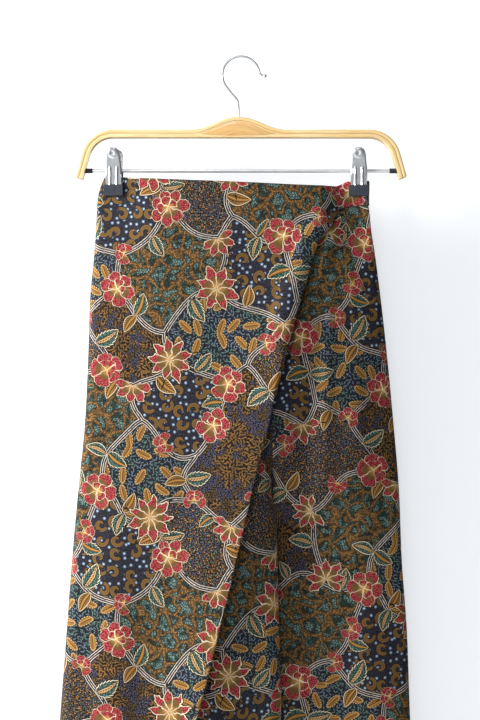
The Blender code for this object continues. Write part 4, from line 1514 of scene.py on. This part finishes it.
def stitch_row(place):
    """Plans stitches along a line on the cloth, from a function of the height above the cloth."""
    low, high = place(ABOVE_CLOTH), place(ABOVE_CLOTH + TO_SEE_OUT)
    run = run_along(low)
    middles = np.arange(STITCH_PITCH / 2, run[-1] - STITCH_PITCH / 2, STITCH_PITCH)

    def at(line, places):
        return np.stack([np.interp(places, run, line[:, k]) for k in range(3)], axis=1)

    start, end = at(low, middles - STITCH_LENGTH / 2), at(low, middles + STITCH_LENGTH / 2)
    centre = (start + end) / 2
    along = unit(end - start)
    side = unit(np.cross(at(high, middles) - centre, along))
    out = np.cross(along, side)
    sized = np.stack([along * STITCH_LENGTH, side * STITCH_THICK, out * STITCH_THICK], axis=1) / 2
    PLANNED.extend(zip(centre, sized))


edge_top = WAIST_EDGE.at("top", WRAP_EDGE.at("x", WRAP_EDGE.places[0]))
down = even_steps(edge_top, HEM - HEM_WIDE, 2 * STITCH_PITCH)
edge_place = across_to(WRAP_EDGE.at("x", down) - HEM_WIDE, down)
stitch_row(lambda above: on_wrap(edge_place, down, above))
bottom = np.full(ROW_POINTS, HEM - HEM_WIDE)
wrap_end = across_to(WRAP_EDGE.at("x", bottom[:1]), bottom[:1])[0]
wrap_across = np.linspace(ROW_END, wrap_end - ROW_END / 2, ROW_POINTS)
stitch_row(lambda above: on_wrap(wrap_across, bottom, above))
hem_places = np.linspace(ROW_END, 1 - ROW_END, ROW_POINTS)
band_places = np.linspace(ROW_END / 2, 0.999, BAND_POINTS)
for half in ("right", "left"):
    for face in ("front", "back"):
        stitch_row(lambda above: on_panel(half, face, hem_places, bottom, above))
    for face in ("front", "back"):
        band_x, _ = section(half, face, band_places, np.full(BAND_POINTS, WAIST))
        band_drop = WAIST_EDGE.at("seam", band_x) - BAND_ROW_UP
        stitch_row(lambda above: skin(half, face, band_places, band_drop, above))

# %% One mesh of stitches
ball = bmesh.new()
on_side = Matrix.Rotation(math.pi / 2, 4, "Y")
bmesh.ops.create_uvsphere(ball, u_segments=6, v_segments=4, radius=1, matrix=on_side)
one = np.array([v.co for v in ball.verts])
one_mesh = bpy.data.meshes.new("one_stitch")
ball.to_mesh(one_mesh)
ball.free()
bm = bmesh.new()
for _ in PLANNED:
    bm.from_mesh(one_mesh)
bpy.data.meshes.remove(one_mesh)
stitches = keep("stitches", bm)
placed = [centre + one @ sized for centre, sized in PLANNED]
stitches.data.vertices.foreach_set("co", np.concatenate(placed).ravel())
stitches.data.update()
print("stitches:", len(stitches.data.polygons), "faces")

# %% [markdown]
# ## Drawing the print with nodes
#
# A print this fine would be a huge picture, and a picture could only be as sharp as its pixels. Node maths
# draws it at any size. A small class lets formulas be written as formulas, each step of which becomes one
# math node, and each kind of filling, petal and leaf is a function or a node group of its own.

# %% Node maths
class Mark:
    """What a socket puts out over the surface. Formulas of marks become math nodes."""

    def __init__(self, socket):
        self.socket = socket

    def math(self, operation, *others):
        node = new_node("ShaderNodeMath", dict(enumerate((self, *others))), operation=operation)
        return Mark(node.outputs[0])

    def __rsub__(self, other):
        return (self * -1) + other

    def rise(self, low, high):
        """0 below low, 1 above high, smooth between. The other way round where low is the larger."""
        node = new_node("ShaderNodeMapRange", {"Value": self, "From Min": low, "From Max": high},
                        interpolation_type="SMOOTHSTEP")
        return Mark(node.outputs[0])


MARK_METHODS = {
    "__add__": "ADD",
    "__radd__": "ADD",
    "__sub__": "SUBTRACT",
    "__mul__": "MULTIPLY",
    "__rmul__": "MULTIPLY",
    "__truediv__": "DIVIDE",
    "least": "MINIMUM",
    "most": "MAXIMUM",
    "size": "ABSOLUTE",
    "power": "POWER",
    "above": "GREATER_THAN",
}
for method, operation in MARK_METHODS.items():
    setattr(Mark, method, partialmethod(Mark.math, operation))


def put(slot, value):
    """Sets a socket to a number or colour, or links a mark to it."""
    if isinstance(value, Mark):
        slot.id_data.links.new(value.socket, slot)
    else:
        slot.default_value = value


def new_node(kind, inputs, **settings):
    """A node with its settings and its inputs, in the tree that its first mark belongs to."""
    first = next(value for value in inputs.values() if isinstance(value, Mark))
    node = first.socket.id_data.nodes.new(kind)
    for name, value in settings.items():
        setattr(node, name, value)
    for name, value in inputs.items():
        put(node.inputs[name], value)
    return node


def pick(factor, first, second):
    """Two colours, mixed by a mark."""
    node = new_node("ShaderNodeMix", {0: factor, 6: first, 7: second}, data_type="RGBA", clamp_factor=True)
    return Mark(node.outputs[2])


def vector(x, y, z=0.0):
    return Mark(new_node("ShaderNodeCombineXYZ", {0: x, 1: y, 2: z}).outputs[0])


def parts(place):
    return [Mark(out) for out in new_node("ShaderNodeSeparateXYZ", {0: place}).outputs]


def distance(x, y):
    return (x * x + y * y).math("SQRT")


def turned_place(x, y, angle):
    """x and y turned back by an angle."""
    cos, sin = angle.math("COSINE"), angle.math("SINE")
    return x * cos + y * sin, y * cos - x * sin


# %% Chance
FULL_TURN = 6.283
TO_MM = 1000


def noise(place, scale, detail=1.0, rough=0.5):
    inputs = {"Vector": place, "Scale": scale, "Detail": detail, "Roughness": rough}
    return Mark(new_node("ShaderNodeTexNoise", inputs, noise_dimensions="2D").outputs["Fac"])


def cells(place, scale, randomness=1.0, feature="F1"):
    """Scattered cells: the distance from each one's middle, its random colour, and that middle."""
    node = new_node("ShaderNodeTexVoronoi", {"Vector": place, "Scale": scale, "Randomness": randomness},
                    voronoi_dimensions="2D", feature=feature)
    return [Mark(out) for out in node.outputs if out.enabled]


def cell_edge(place, scale, randomness=1.0):
    """The distance from the nearest border between scattered cells."""
    return cells(place, scale, randomness, "DISTANCE_TO_EDGE")[0]


def random_number(x, y):
    node = new_node("ShaderNodeTexWhiteNoise", {"Vector": vector(x, y)}, noise_dimensions="2D")
    return Mark(node.outputs["Value"])


def from_middle(place, middle):
    """How far a place lies from a middle, across and up."""
    x, y = parts(place)[:2]
    mx, my = parts(middle)[:2]
    return x - mx, y - my


def thrown(place, scale, randomness):
    """Millimetres from the middle of a place's cell, turned by chance, and a second random number."""
    _, tint, middle = cells(place, scale, randomness)
    turn, chance = parts(tint)[:2]
    lx, ly = turned_place(*from_middle(place, middle), turn * FULL_TURN)
    return lx * TO_MM, ly * TO_MM, chance


# %% Groups of nodes
def new_group(name, takes, gives):
    """A shader node group: marks of what it takes, by name, and the sockets of what it gives."""
    tree = bpy.data.node_groups.new(name, "ShaderNodeTree")
    for way, sockets in (("INPUT", takes), ("OUTPUT", gives)):
        for label, kind in sockets.items():
            tree.interface.new_socket(label, in_out=way, socket_type="NodeSocket" + kind)
    given = {out.name: Mark(out) for out in tree.nodes.new("NodeGroupInput").outputs}
    return tree, given, tree.nodes.new("NodeGroupOutput").inputs


def place_group(group, **values):
    """Marks of what a group gives for some values, by name."""
    return {out.name: Mark(out) for out in new_node("ShaderNodeGroup", values, node_tree=group).outputs}


# %% Dyes
def dye(red, green, blue):
    """A dye's colour from its usual 0 to 255 numbers, as the linear numbers that nodes take."""
    shares = [c / 255 for c in (red, green, blue)]
    linear = [c / 12.92 if c <= 0.04045 else ((c + 0.055) / 1.055) ** 2.4 for c in shares]
    return (*linear, 1.0)


CREAM = dye(240, 224, 190)
CHALK = dye(216, 206, 192)
CORAL = dye(126, 26, 36)
PINK = dye(196, 80, 84)
OLIVE = dye(106, 80, 38)
RUST = dye(138, 98, 44)
GOLD = dye(190, 136, 60)
TAN = dye(214, 176, 124)
SEA = dye(92, 124, 116)
PEBBLE = dye(106, 136, 128)
DEEP_SEA = dye(34, 62, 54)
INK = dye(24, 25, 36)
BLACK = dye(16, 13, 12)
SLATE = dye(74, 68, 74)
LILAC = dye(86, 84, 110)
DIM = dye(50, 50, 68)
SKY = dye(126, 150, 174)
HAZE = dye(108, 126, 142)
WHITE = dye(222, 232, 240)
BROWN = dye(80, 58, 30)
FAWN = dye(156, 112, 54)


# %% Fills
def strokes(place, scale, long, thin, burst=None):
    """Scattered short strokes, below 1 inside one, pointing every way or roughly out of a burst's middle."""
    _, tint, middle = cells(place, scale, 0.85)
    chance = parts(tint)[0]
    if burst:
        sx, sy = parts(middle)[:2]
        turn = (sy - burst[1]).math("ARCTAN2", sx - burst[0]) + (chance - 0.5) * 2.2
    else:
        turn = chance * FULL_TURN
    across, up = from_middle(place, middle)
    px, py = turned_place(across * TO_MM, up * TO_MM, turn)
    return px * px / (long * long) + py * py / (thin * thin)


def teal_fill(place):
    """Feathery brown bands that wander round patches of teal pebbles."""
    x, y = parts(place)[:2]
    sway = noise(place, 55, 1.0) - 0.5
    rock = noise(vector(y, x), 48, 1.0) - 0.5
    bent = vector(x + sway * 0.022, y + rock * 0.022)
    feather = noise(place, 520, 2.0)
    band = cell_edge(bent, 58, 0.9) * 17.0 + (feather - 0.5) * 4.0
    pebble = cell_edge(place, 350)
    tone = noise(place, 110)
    pebble_colour = pick(tone.rise(0.44, 0.62), PEBBLE, DEEP_SEA)
    ground = pick(pebble.rise(0.07, 0.2), BLACK, pebble_colour)
    barb = strokes(place, 310, 2.5, 0.75)
    brown = pick(barb.rise(1.1, 0.5), BROWN, pick(band.rise(1.6, 0.4), OLIVE, FAWN))
    colour = pick(band.rise(2.5, 2.2), ground, brown)
    edge = (band - 2.9).size()
    return pick(edge.rise(0.7, 0.4), colour, BLACK)


def navy_fill(place):
    """Brown curls and pale dots on navy."""
    lx, ly, _ = thrown(place, 52, 0.5)
    radius = distance(lx, ly)
    angle = ly.math("ARCTAN2", lx)
    ring = 4.6 + angle * 0.9
    width = (angle + 3.2).least(3.4 - angle * 0.4) * 0.8
    off = width - (radius - ring).size()
    curl = off.rise(-0.1, 0.5) * angle.rise(-2.9, -2.5) * angle.rise(3.1, 2.7)
    dots = cells(place, 118, 0.7)[0]
    tiny = cells(place, 420, 0.9)[0]
    ground = pick(tiny.rise(0.34, 0.2), INK, DIM)
    dot = dots.rise(0.24, 0.17) * off.rise(-0.6, -1.4)
    ground = pick(dot, ground, SKY)
    ground = pick(dots.rise(0.10, 0.02) * dot, ground, WHITE)
    ground = pick(off.rise(-1.0, -0.4) * 0.8, ground, BLACK)
    curl_colour = pick(off.rise(0.7, 1.0), RUST, OLIVE)
    return pick(curl, ground, curl_colour)


def stipple_fill(place):
    """Feathery bursts of brown strokes on fine lavender dots."""
    middle = cells(place, 24, 0.8)[2]
    across, up = from_middle(place, middle)
    radius = distance(across * TO_MM, up * TO_MM)
    stroke = strokes(place, 290, 2.6, 0.8, burst=parts(middle)[:2])
    reach = noise(place, 80, 2.0)
    burst = radius * 0.045 + (reach - 0.5) * 1.8
    dots = cells(place, 540, 0.9)[0]
    shade = noise(place, 70)
    dot = pick(shade.rise(0.5, 0.62), LILAC, OLIVE)
    ground = pick(dots.rise(0.42, 0.22), BLACK, dot)
    brown = pick(stroke.rise(1.15, 0.6), BLACK, pick(reach.rise(0.38, 0.6), RUST, OLIVE))
    return pick(burst.rise(0.86, 0.80), ground, brown)


def bean_fill(place):
    """Beaded bean leaves on a ground of short pale strokes."""
    lx, ly, bend = thrown(place, 45, 0.55)
    ly = ly + lx * lx * 0.03 * (bend - 0.2) - 0.6
    shape = 1.0 - (lx * lx / 96.0 + ly * ly / 19.0).math("SQRT")
    around = (ly * 2.4).math("ARCTAN2", lx) * 18.0
    bead = (around.math("SINE") * 0.5 + 0.5)
    stroke = strokes(place, 270, 2.2, 0.62)
    pale = pick(noise(place, 45).rise(0.45, 0.55), HAZE, SEA)
    ground = pick(stroke.rise(1.1, 0.5), INK, pale)
    ground = pick(shape.rise(-0.30, -0.16), ground, BLACK)
    ring = (shape - 0.02).size().rise(0.15, 0.06) * bead.rise(0.2, 0.6)
    colour = pick(shape.rise(-0.02, 0.1), ground, RUST)
    inner = shape.rise(0.1, 0.3)
    colour = pick(ly.size().rise(0.9, 0.3) * inner, colour, BROWN)
    colour = pick((ly - 1.2).size().rise(0.9, 0.3) * inner, colour, GOLD)
    return pick(ring, colour, TAN)


def points_fill(place):
    """Fine dots in every dye of the cloth on near-black."""
    dots, tint, _ = cells(place, 520, 0.9)
    first, second, third = parts(tint)
    patch = noise(place, 30, 1.0)
    colour = pick((first * 0.6 + patch * 0.8).rise(0.55, 0.85), OLIVE, LILAC)
    colour = pick(second.above(0.8), colour, GOLD)
    colour = pick(third.above(0.86), colour, SEA)
    return pick(dots.rise(0.44, 0.24), BLACK, colour)


FILLS = (teal_fill, navy_fill, stipple_fill, bean_fill, points_fill)


def fill_colour(place, which):
    colour = FILLS[0](place)
    for number in range(1, len(FILLS)):
        colour = pick(which.above(number - 0.5), colour, FILLS[number](place))
    return colour


# %% Petals and flowers
INNER_RING = 1.9


def petal_ring(x, y, count, pointed, share, seed):
    """How far a place lies inside the nearest petal, and how far along it, in flower radii."""
    radius = distance(x, y)
    half = share * math.pi / count
    turn = y.math("ARCTAN2", x) / (half * 2) + count * 0.5
    number = turn.math("FLOOR")
    inside = turn.above(0.0) * (count - turn).above(0.0)
    local = (turn.math("FRACT") - 0.5) * half * 2
    length = 1.0 - 0.2 * random_number(number * 3.1, seed)
    along = radius * local.math("COSINE") / length
    across = (radius * local.math("SINE") / length).size()
    knee = 0.64 - 0.08 * pointed
    wedge = half.math("TANGENT")
    past = ((along - knee).most(0.0) / (1.0 - knee)).least(1.0)
    spike = (1.0 - past) * 0.95
    round_tip = (1.0 - (past * 1.22).least(1.0).power(2.3)).power(0.5).most(spike)
    sharp_tip = 1.0 - past.power(1.5)
    tip = round_tip + (sharp_tip - round_tip) * pointed
    side = wedge * knee * 1.02 * tip - across
    seam = (wedge * along - across) * half.math("COSINE")
    inner = side.least(seam * 1.9)
    return (inner - (1.0 - inside) * 9.0), along, across, number


def flower_group():
    tree, given, wanted = new_group(
        "batik_flower",
        {"Place": "Vector", "Flower": "Vector", "Petals": "Vector"},
        {"Color": "Color", "Mask": "Float"},
    )
    x, y, seed = parts(given["Flower"])
    count, pointed, share = parts(given["Petals"])
    wobble = noise(given["Place"], 140, 1.0)
    x = x + (wobble - 0.5) * 0.16
    y = y + (noise(given["Place"], 150, 1.0) - 0.5) * 0.16
    inside, along, across, number = petal_ring(x, y, count, pointed, share, seed)
    dots = cells(given["Place"], 450, 0.9)[0]
    coral = pick(dots.rise(0.42, 0.2), CORAL, PINK)
    heart_end = 0.52 - pointed * 0.06 + 0.16 * random_number(number, seed * 1.7)
    heart = (along + across * 0.7 - heart_end).rise(0.0, 0.06)
    brown_dots = pick(along.rise(0.42, 0.08), OLIVE, GOLD)
    colour = pick(heart, brown_dots, coral)
    colour = pick(inside.rise(0.068, 0.044), colour, BROWN)
    line = inside.rise(0.046, 0.026)
    colour = pick(line, colour, CREAM)
    colour = pick((x * x + y * y).rise(0.012, 0.004), colour, TAN)
    colour = pick(inside.rise(-0.002, 0.012), BLACK, colour)
    front, along, across, _ = petal_ring(
        x * INNER_RING, y * INNER_RING, (count * 0.5).math("FLOOR"), pointed, share * 0.62, seed + 5.0)
    front_colour = pick((along + across).rise(0.56, 0.66), brown_dots, coral)
    front_colour = pick(front.rise(0.11, 0.07), front_colour, CREAM)
    two_rings = (1.0 - pointed).above(0.6)
    put(wanted["Color"], pick(front.rise(-0.02, 0.015) * two_rings, colour, front_colour))
    put(wanted["Mask"], inside.rise(-0.05, -0.02))
    return tree


# %% Leaves
def leaf_group():
    tree, given, wanted = new_group(
        "batik_leaf",
        {"Place": "Vector", "Leaf": "Vector"},
        {"Color": "Color", "Mask": "Float"},
    )
    along, across, kind = parts(given["Leaf"])
    bend = (along * 3.1416).math("SINE") * 0.08
    across = across + bend
    flank = across.size()
    inner = along.most(0.0).least(1.0)
    belly = ((inner.power(0.8) * 3.1416).math("SINE")).most(0.0).power(0.75)
    toothed = kind.above(0.5) * (2.5 - kind).above(0.0)
    teeth = (along * 7.0).math("FRACT") * 0.06 * toothed * belly
    width = belly * 0.262 + teeth
    side = width - flank
    line = side.rise(0.036, 0.02)
    dots = cells(given["Place"], 430, 0.8)[0]
    green = pick(dots.rise(0.40, 0.22), DEEP_SEA, SEA)
    veins = (along * 8.0 - flank * 9.0).math("FRACT")
    golden = pick(veins.rise(0.36, 0.5), BROWN, pick(along.rise(0.2, 0.9), RUST, GOLD))
    green = pick(kind.above(0.5), golden, green)
    core = belly * 0.08 - flank
    weave = (along * 9.0 + flank * 16.0).math("FRACT")
    ladder = pick(weave.rise(0.30, 0.42) * flank.rise(0.006, 0.012), BROWN, TAN)
    plain = pick(flank.rise(0.012, 0.03), GOLD, RUST)
    middle = pick(kind.above(1.5), plain, ladder)
    green = pick(core.rise(-0.035, -0.01), green, BLACK)
    colour = pick(core.rise(0.0, 0.012), green, middle)
    colour = pick(line, colour, CREAM)
    colour = pick(side.rise(-0.006, 0.008), BLACK, colour)
    ends = along.above(0.0) * (1.0 - along).above(0.0)
    put(wanted["Color"], colour)
    put(wanted["Mask"], side.rise(-0.05, -0.02) * ends)
    return tree

# %% The whole print
def batik_group():
    """The whole print, from the place on the flat cloth and the marks on the mesh."""
    tree, given, wanted = new_group(
        "batik_print",
        {"Place": "Vector", **{layer.title(): "Vector" for layer in MARK_LAYERS}},
        {"Color": "Color"},
    )
    place = given["Place"]
    ab, ac, bc = parts(given["Stem"])
    fill_a, fill_b, fill_c = parts(given["Fill"])
    in_a = ab.above(0.0) * ac.above(0.0)
    in_b = (1.0 - in_a) * bc.above(0.0) * (1.0 - ab.above(0.0))
    in_c = 1.0 - in_a - in_b
    which = fill_a * in_a + fill_b * in_b + fill_c * in_c
    away = ab.size().least(ac.size()) * in_a + ab.size().least(bc.size()) * in_b
    away = away + ac.size().least(bc.size()) * in_c
    colour = fill_colour(place, which)
    drift = (noise(place, 260, 1.0) - 0.5) * 0.9
    away = away + drift
    colour = pick(away.rise(4.4, 3.4), colour, BLACK)
    band = pick(away.rise(0.42, 0.2), SLATE, CHALK)
    band = pick((away - 1.35).size().rise(0.5, 0.3), band, BLACK)
    band = pick((away - 2.55).size().rise(0.46, 0.24), band, CHALK)
    colour = pick(away.rise(3.2, 2.9), colour, band)
    leaf = place_group(leaf_group(), Place=place, Leaf=given["Leaf"])
    colour = pick(leaf["Mask"], colour, leaf["Color"])
    flower = place_group(flower_group(), Place=place, Flower=given["Flower"], Petals=given["Petals"])
    colour = pick(flower["Mask"], colour, flower["Color"])
    put(wanted["Color"], colour)
    return tree


# %% [markdown]
# ## Cotton
#
# Plain-woven cotton is matt, with a weak sheen and fine slubs. The weave is a node group, since both faces
# of the cloth use it. The reverse of hand-waxed cotton carries the same print, a little duller.

# %% Weave
THREAD_PITCH = 0.42 * MM


def weave_group():
    """The height of a plain weave's threads, with slubs, at a place on the flat cloth."""
    tree, given, wanted = new_group(
        "plain_weave",
        {"Place": "Vector"},
        {"Height": "Float", "Slub": "Float"},
    )
    x, y = parts(given["Place"])[:2]
    turns = math.pi / THREAD_PITCH
    warp, weft = (x * turns).math("SINE"), (y * turns).math("SINE")
    over = (warp * weft) * 0.5 + 0.5
    slub = noise(vector(x * 0.15, y), 900, 2.0)
    put(wanted["Height"], over * 0.6 + slub * 0.6)
    put(wanted["Slub"], slub)
    return tree


batik_print = batik_group()
plain_weave = weave_group()

# %% Printed cotton
def dress(shader, colour, rough, height, strength, depth):
    """Feeds a shader its colour and roughness, and a bump from a height."""
    bump = new_node("ShaderNodeBump", {"Height": height, "Strength": strength, "Distance": depth})
    put(shader.inputs["Base Color"], colour)
    put(shader.inputs["Roughness"], rough)
    put(shader.inputs["Normal"], Mark(bump.outputs[0]))


def attribute(tree, name):
    node = tree.nodes.new("ShaderNodeAttribute")
    node.attribute_name = name
    return Mark(node.outputs["Vector"])


def cotton(name, fade):
    """Printed cotton. The fade is how far the dyes are weakened, as they are on the reverse."""
    made, tree, shader = new_material(
        name, {"Specular IOR Level": 0.2, "Sheen Weight": 0.05, "Sheen Roughness": 0.45})
    flat = tree.nodes.new("ShaderNodeUVMap")
    flat.uv_map = "flat_cloth"
    place = Mark(flat.outputs[0])
    marks = {layer.title(): attribute(tree, layer) for layer in MARK_LAYERS}
    colour = place_group(batik_print, Place=place, **marks)["Color"]
    threads = place_group(plain_weave, Place=place)
    slub = threads["Slub"]
    colour = pick(fade, colour, dye(92, 84, 80))
    colour = pick(slub.rise(0.35, 0.75) * 0.05, colour, dye(150, 140, 128))
    dress(shader, colour, slub * 0.12 + 0.72, threads["Height"], 0.35, 0.12 * MM)
    return made


cotton_face = cotton("batik_cotton_face", 0.0)
cotton_reverse = cotton("batik_cotton_reverse", 0.28)
CLOTH_PIECES = (wrap, front_right, front_left, back_right, back_left, band_front, band_back)
for piece in CLOTH_PIECES:
    piece.data.materials.append(cotton_face)
    piece.data.materials.append(cotton_reverse)
    piece.modifiers["thickness"].material_offset = 1
print("print nodes:", sum(len(tree.nodes) for tree in bpy.data.node_groups))

# %% [markdown]
# ## The hanger's materials
#
# Bent strips are cut along the grain, so the wood's streaks follow the bend. Each point of the beam carries
# its place along the glue line, through the depth and away from the glue, and the wood is drawn in that
# place: long streaks, fainter bands of growth, and a dark band by the glue that is partly a stain where glue
# soaked in and partly painted shade of the groove between the strips. Clear varnish is a smooth coat on top.
# The steel is bright plating, dulled a little by handling.

# %% Wood
def wood_group():
    """Streaked wood, from a place along, through and across a bent strip."""
    tree, given, wanted = new_group(
        "strip_wood",
        {"Grain": "Vector", "Pale": "Color", "Deep": "Color"},
        {"Color": "Color", "Streak": "Float"},
    )
    along, through, across = parts(given["Grain"])
    side = through + across * 1.37
    streak = noise(vector(along * 0.035, side), 900, 3.0, 0.6)
    fleck = noise(vector(along * 0.12, side), 3800, 1.0)
    growth = noise(vector(along * 0.25, side * 2.0), 60, 1.0)
    tone = streak.rise(0.38, 0.68) * 0.6 + fleck.rise(0.55, 0.75) * 0.2 + growth.rise(0.4, 0.7) * 0.3
    colour = pick(tone, given["Pale"], given["Deep"])
    # Within about a millimetre of the glue the wood darkens: partly a glue stain, partly painted shade of the
    # groove between the strips.
    glue_stain_and_shade = across.size().rise(0.9 * MM, 0.2 * MM)
    put(wanted["Color"], pick(glue_stain_and_shade * 0.7, colour, given["Deep"]))
    put(wanted["Streak"], streak)
    return tree


strip_wood = wood_group()


def varnished(name, pale, deep):
    """Varnished wood in two tones."""
    made, tree, shader = new_material(
        name, {"Specular IOR Level": 0.5, "Coat Weight": 0.35, "Coat Roughness": 0.12})
    wood = place_group(strip_wood, Grain=attribute(tree, "grain"), Pale=pale, Deep=deep)
    dress(shader, wood["Color"], wood["Streak"] * 0.2 + 0.28, wood["Streak"], 0.2, 0.05 * MM)
    return made


# %% Steel, plastic and rubber
def hanger_material(name, base, second, metal, rough, change, grain_scale, bump_depth):
    """A plain material whose colour and gloss drift a little over the surface."""
    made, tree, shader = new_material(name, {"Metallic": metal})
    x, y, z = parts(Mark(tree.nodes.new("ShaderNodeTexCoord").outputs["Object"]))
    place = vector(x + y * 0.7, z + y * 0.5)
    drift = noise(place, 120, 2.0)
    fine = noise(place, grain_scale, 2.0)
    colour = pick(drift.rise(0.3, 0.7), base, second)
    dress(shader, colour, drift * change + fine * change + rough, fine, 0.3, bump_depth)
    return made


# %% The looks of the pieces
HANGER_LOOKS = (
    ((strip_top, strip_under), varnished("bent_wood_look", dye(255, 232, 178), dye(240, 192, 116))),
    ((glue_line,), varnished("glue_look", dye(168, 112, 54), dye(140, 88, 38))),
    ((inlay,), varnished("inlay_wood_look", dye(242, 200, 134), dye(218, 160, 88))),
    # The rod's steel is a paler, less metallic copy of the plated steel: its colour is painted bright to
    # stand in for the rod's reflections.
    ((rod,), hanger_material("rod_steel_painted_bright", dye(246, 247, 250), dye(238, 240, 246),
                             0.35, 0.22, 0.02, 900, 0.001 * MM)),
    ((hook, *plates, *sleeves), hanger_material("plated_steel", dye(210, 213, 217), dye(198, 201, 205),
                                                0.62, 0.24, 0.02, 900, 0.001 * MM)),
    (caps, hanger_material("black_plastic", dye(28, 30, 36), dye(40, 42, 50),
                           0.0, 0.38, 0.12, 2200, 0.03 * MM)),
    (pads, hanger_material("navy_rubber", dye(29, 35, 48), dye(42, 48, 62),
                           0.0, 0.55, 0.15, 1800, 0.05 * MM)),
    ((stitches,), hanger_material("brown_thread", dye(104, 78, 48), dye(82, 62, 40),
                                  0.0, 0.7, 0.1, 3000, 0.02 * MM)),
)
for pieces, look in HANGER_LOOKS:
    for piece in pieces:
        piece.data.materials.append(look)

# %% What each sheet replaces, and its cut
SHEETS = (
    (wrap, "wrap_panel", (0.34, 0.92), 0.192),
    (front_right, "front_right", (0.31, 0.89), 0.222),
    (front_left, "front_left", (0.26, 0.89), 0.170),
    (back_right, "back_right", (0.31, 0.89), 0.213),
    (back_left, "back_left", (0.26, 0.89), 0.177),
    (band_front, "waistband_front", (0.34, 0.032), 0.0102),
    (band_back, "waistband_back", (0.34, 0.032), 0.0102),
)
for piece, node, flat, area in SHEETS:
    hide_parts(node)
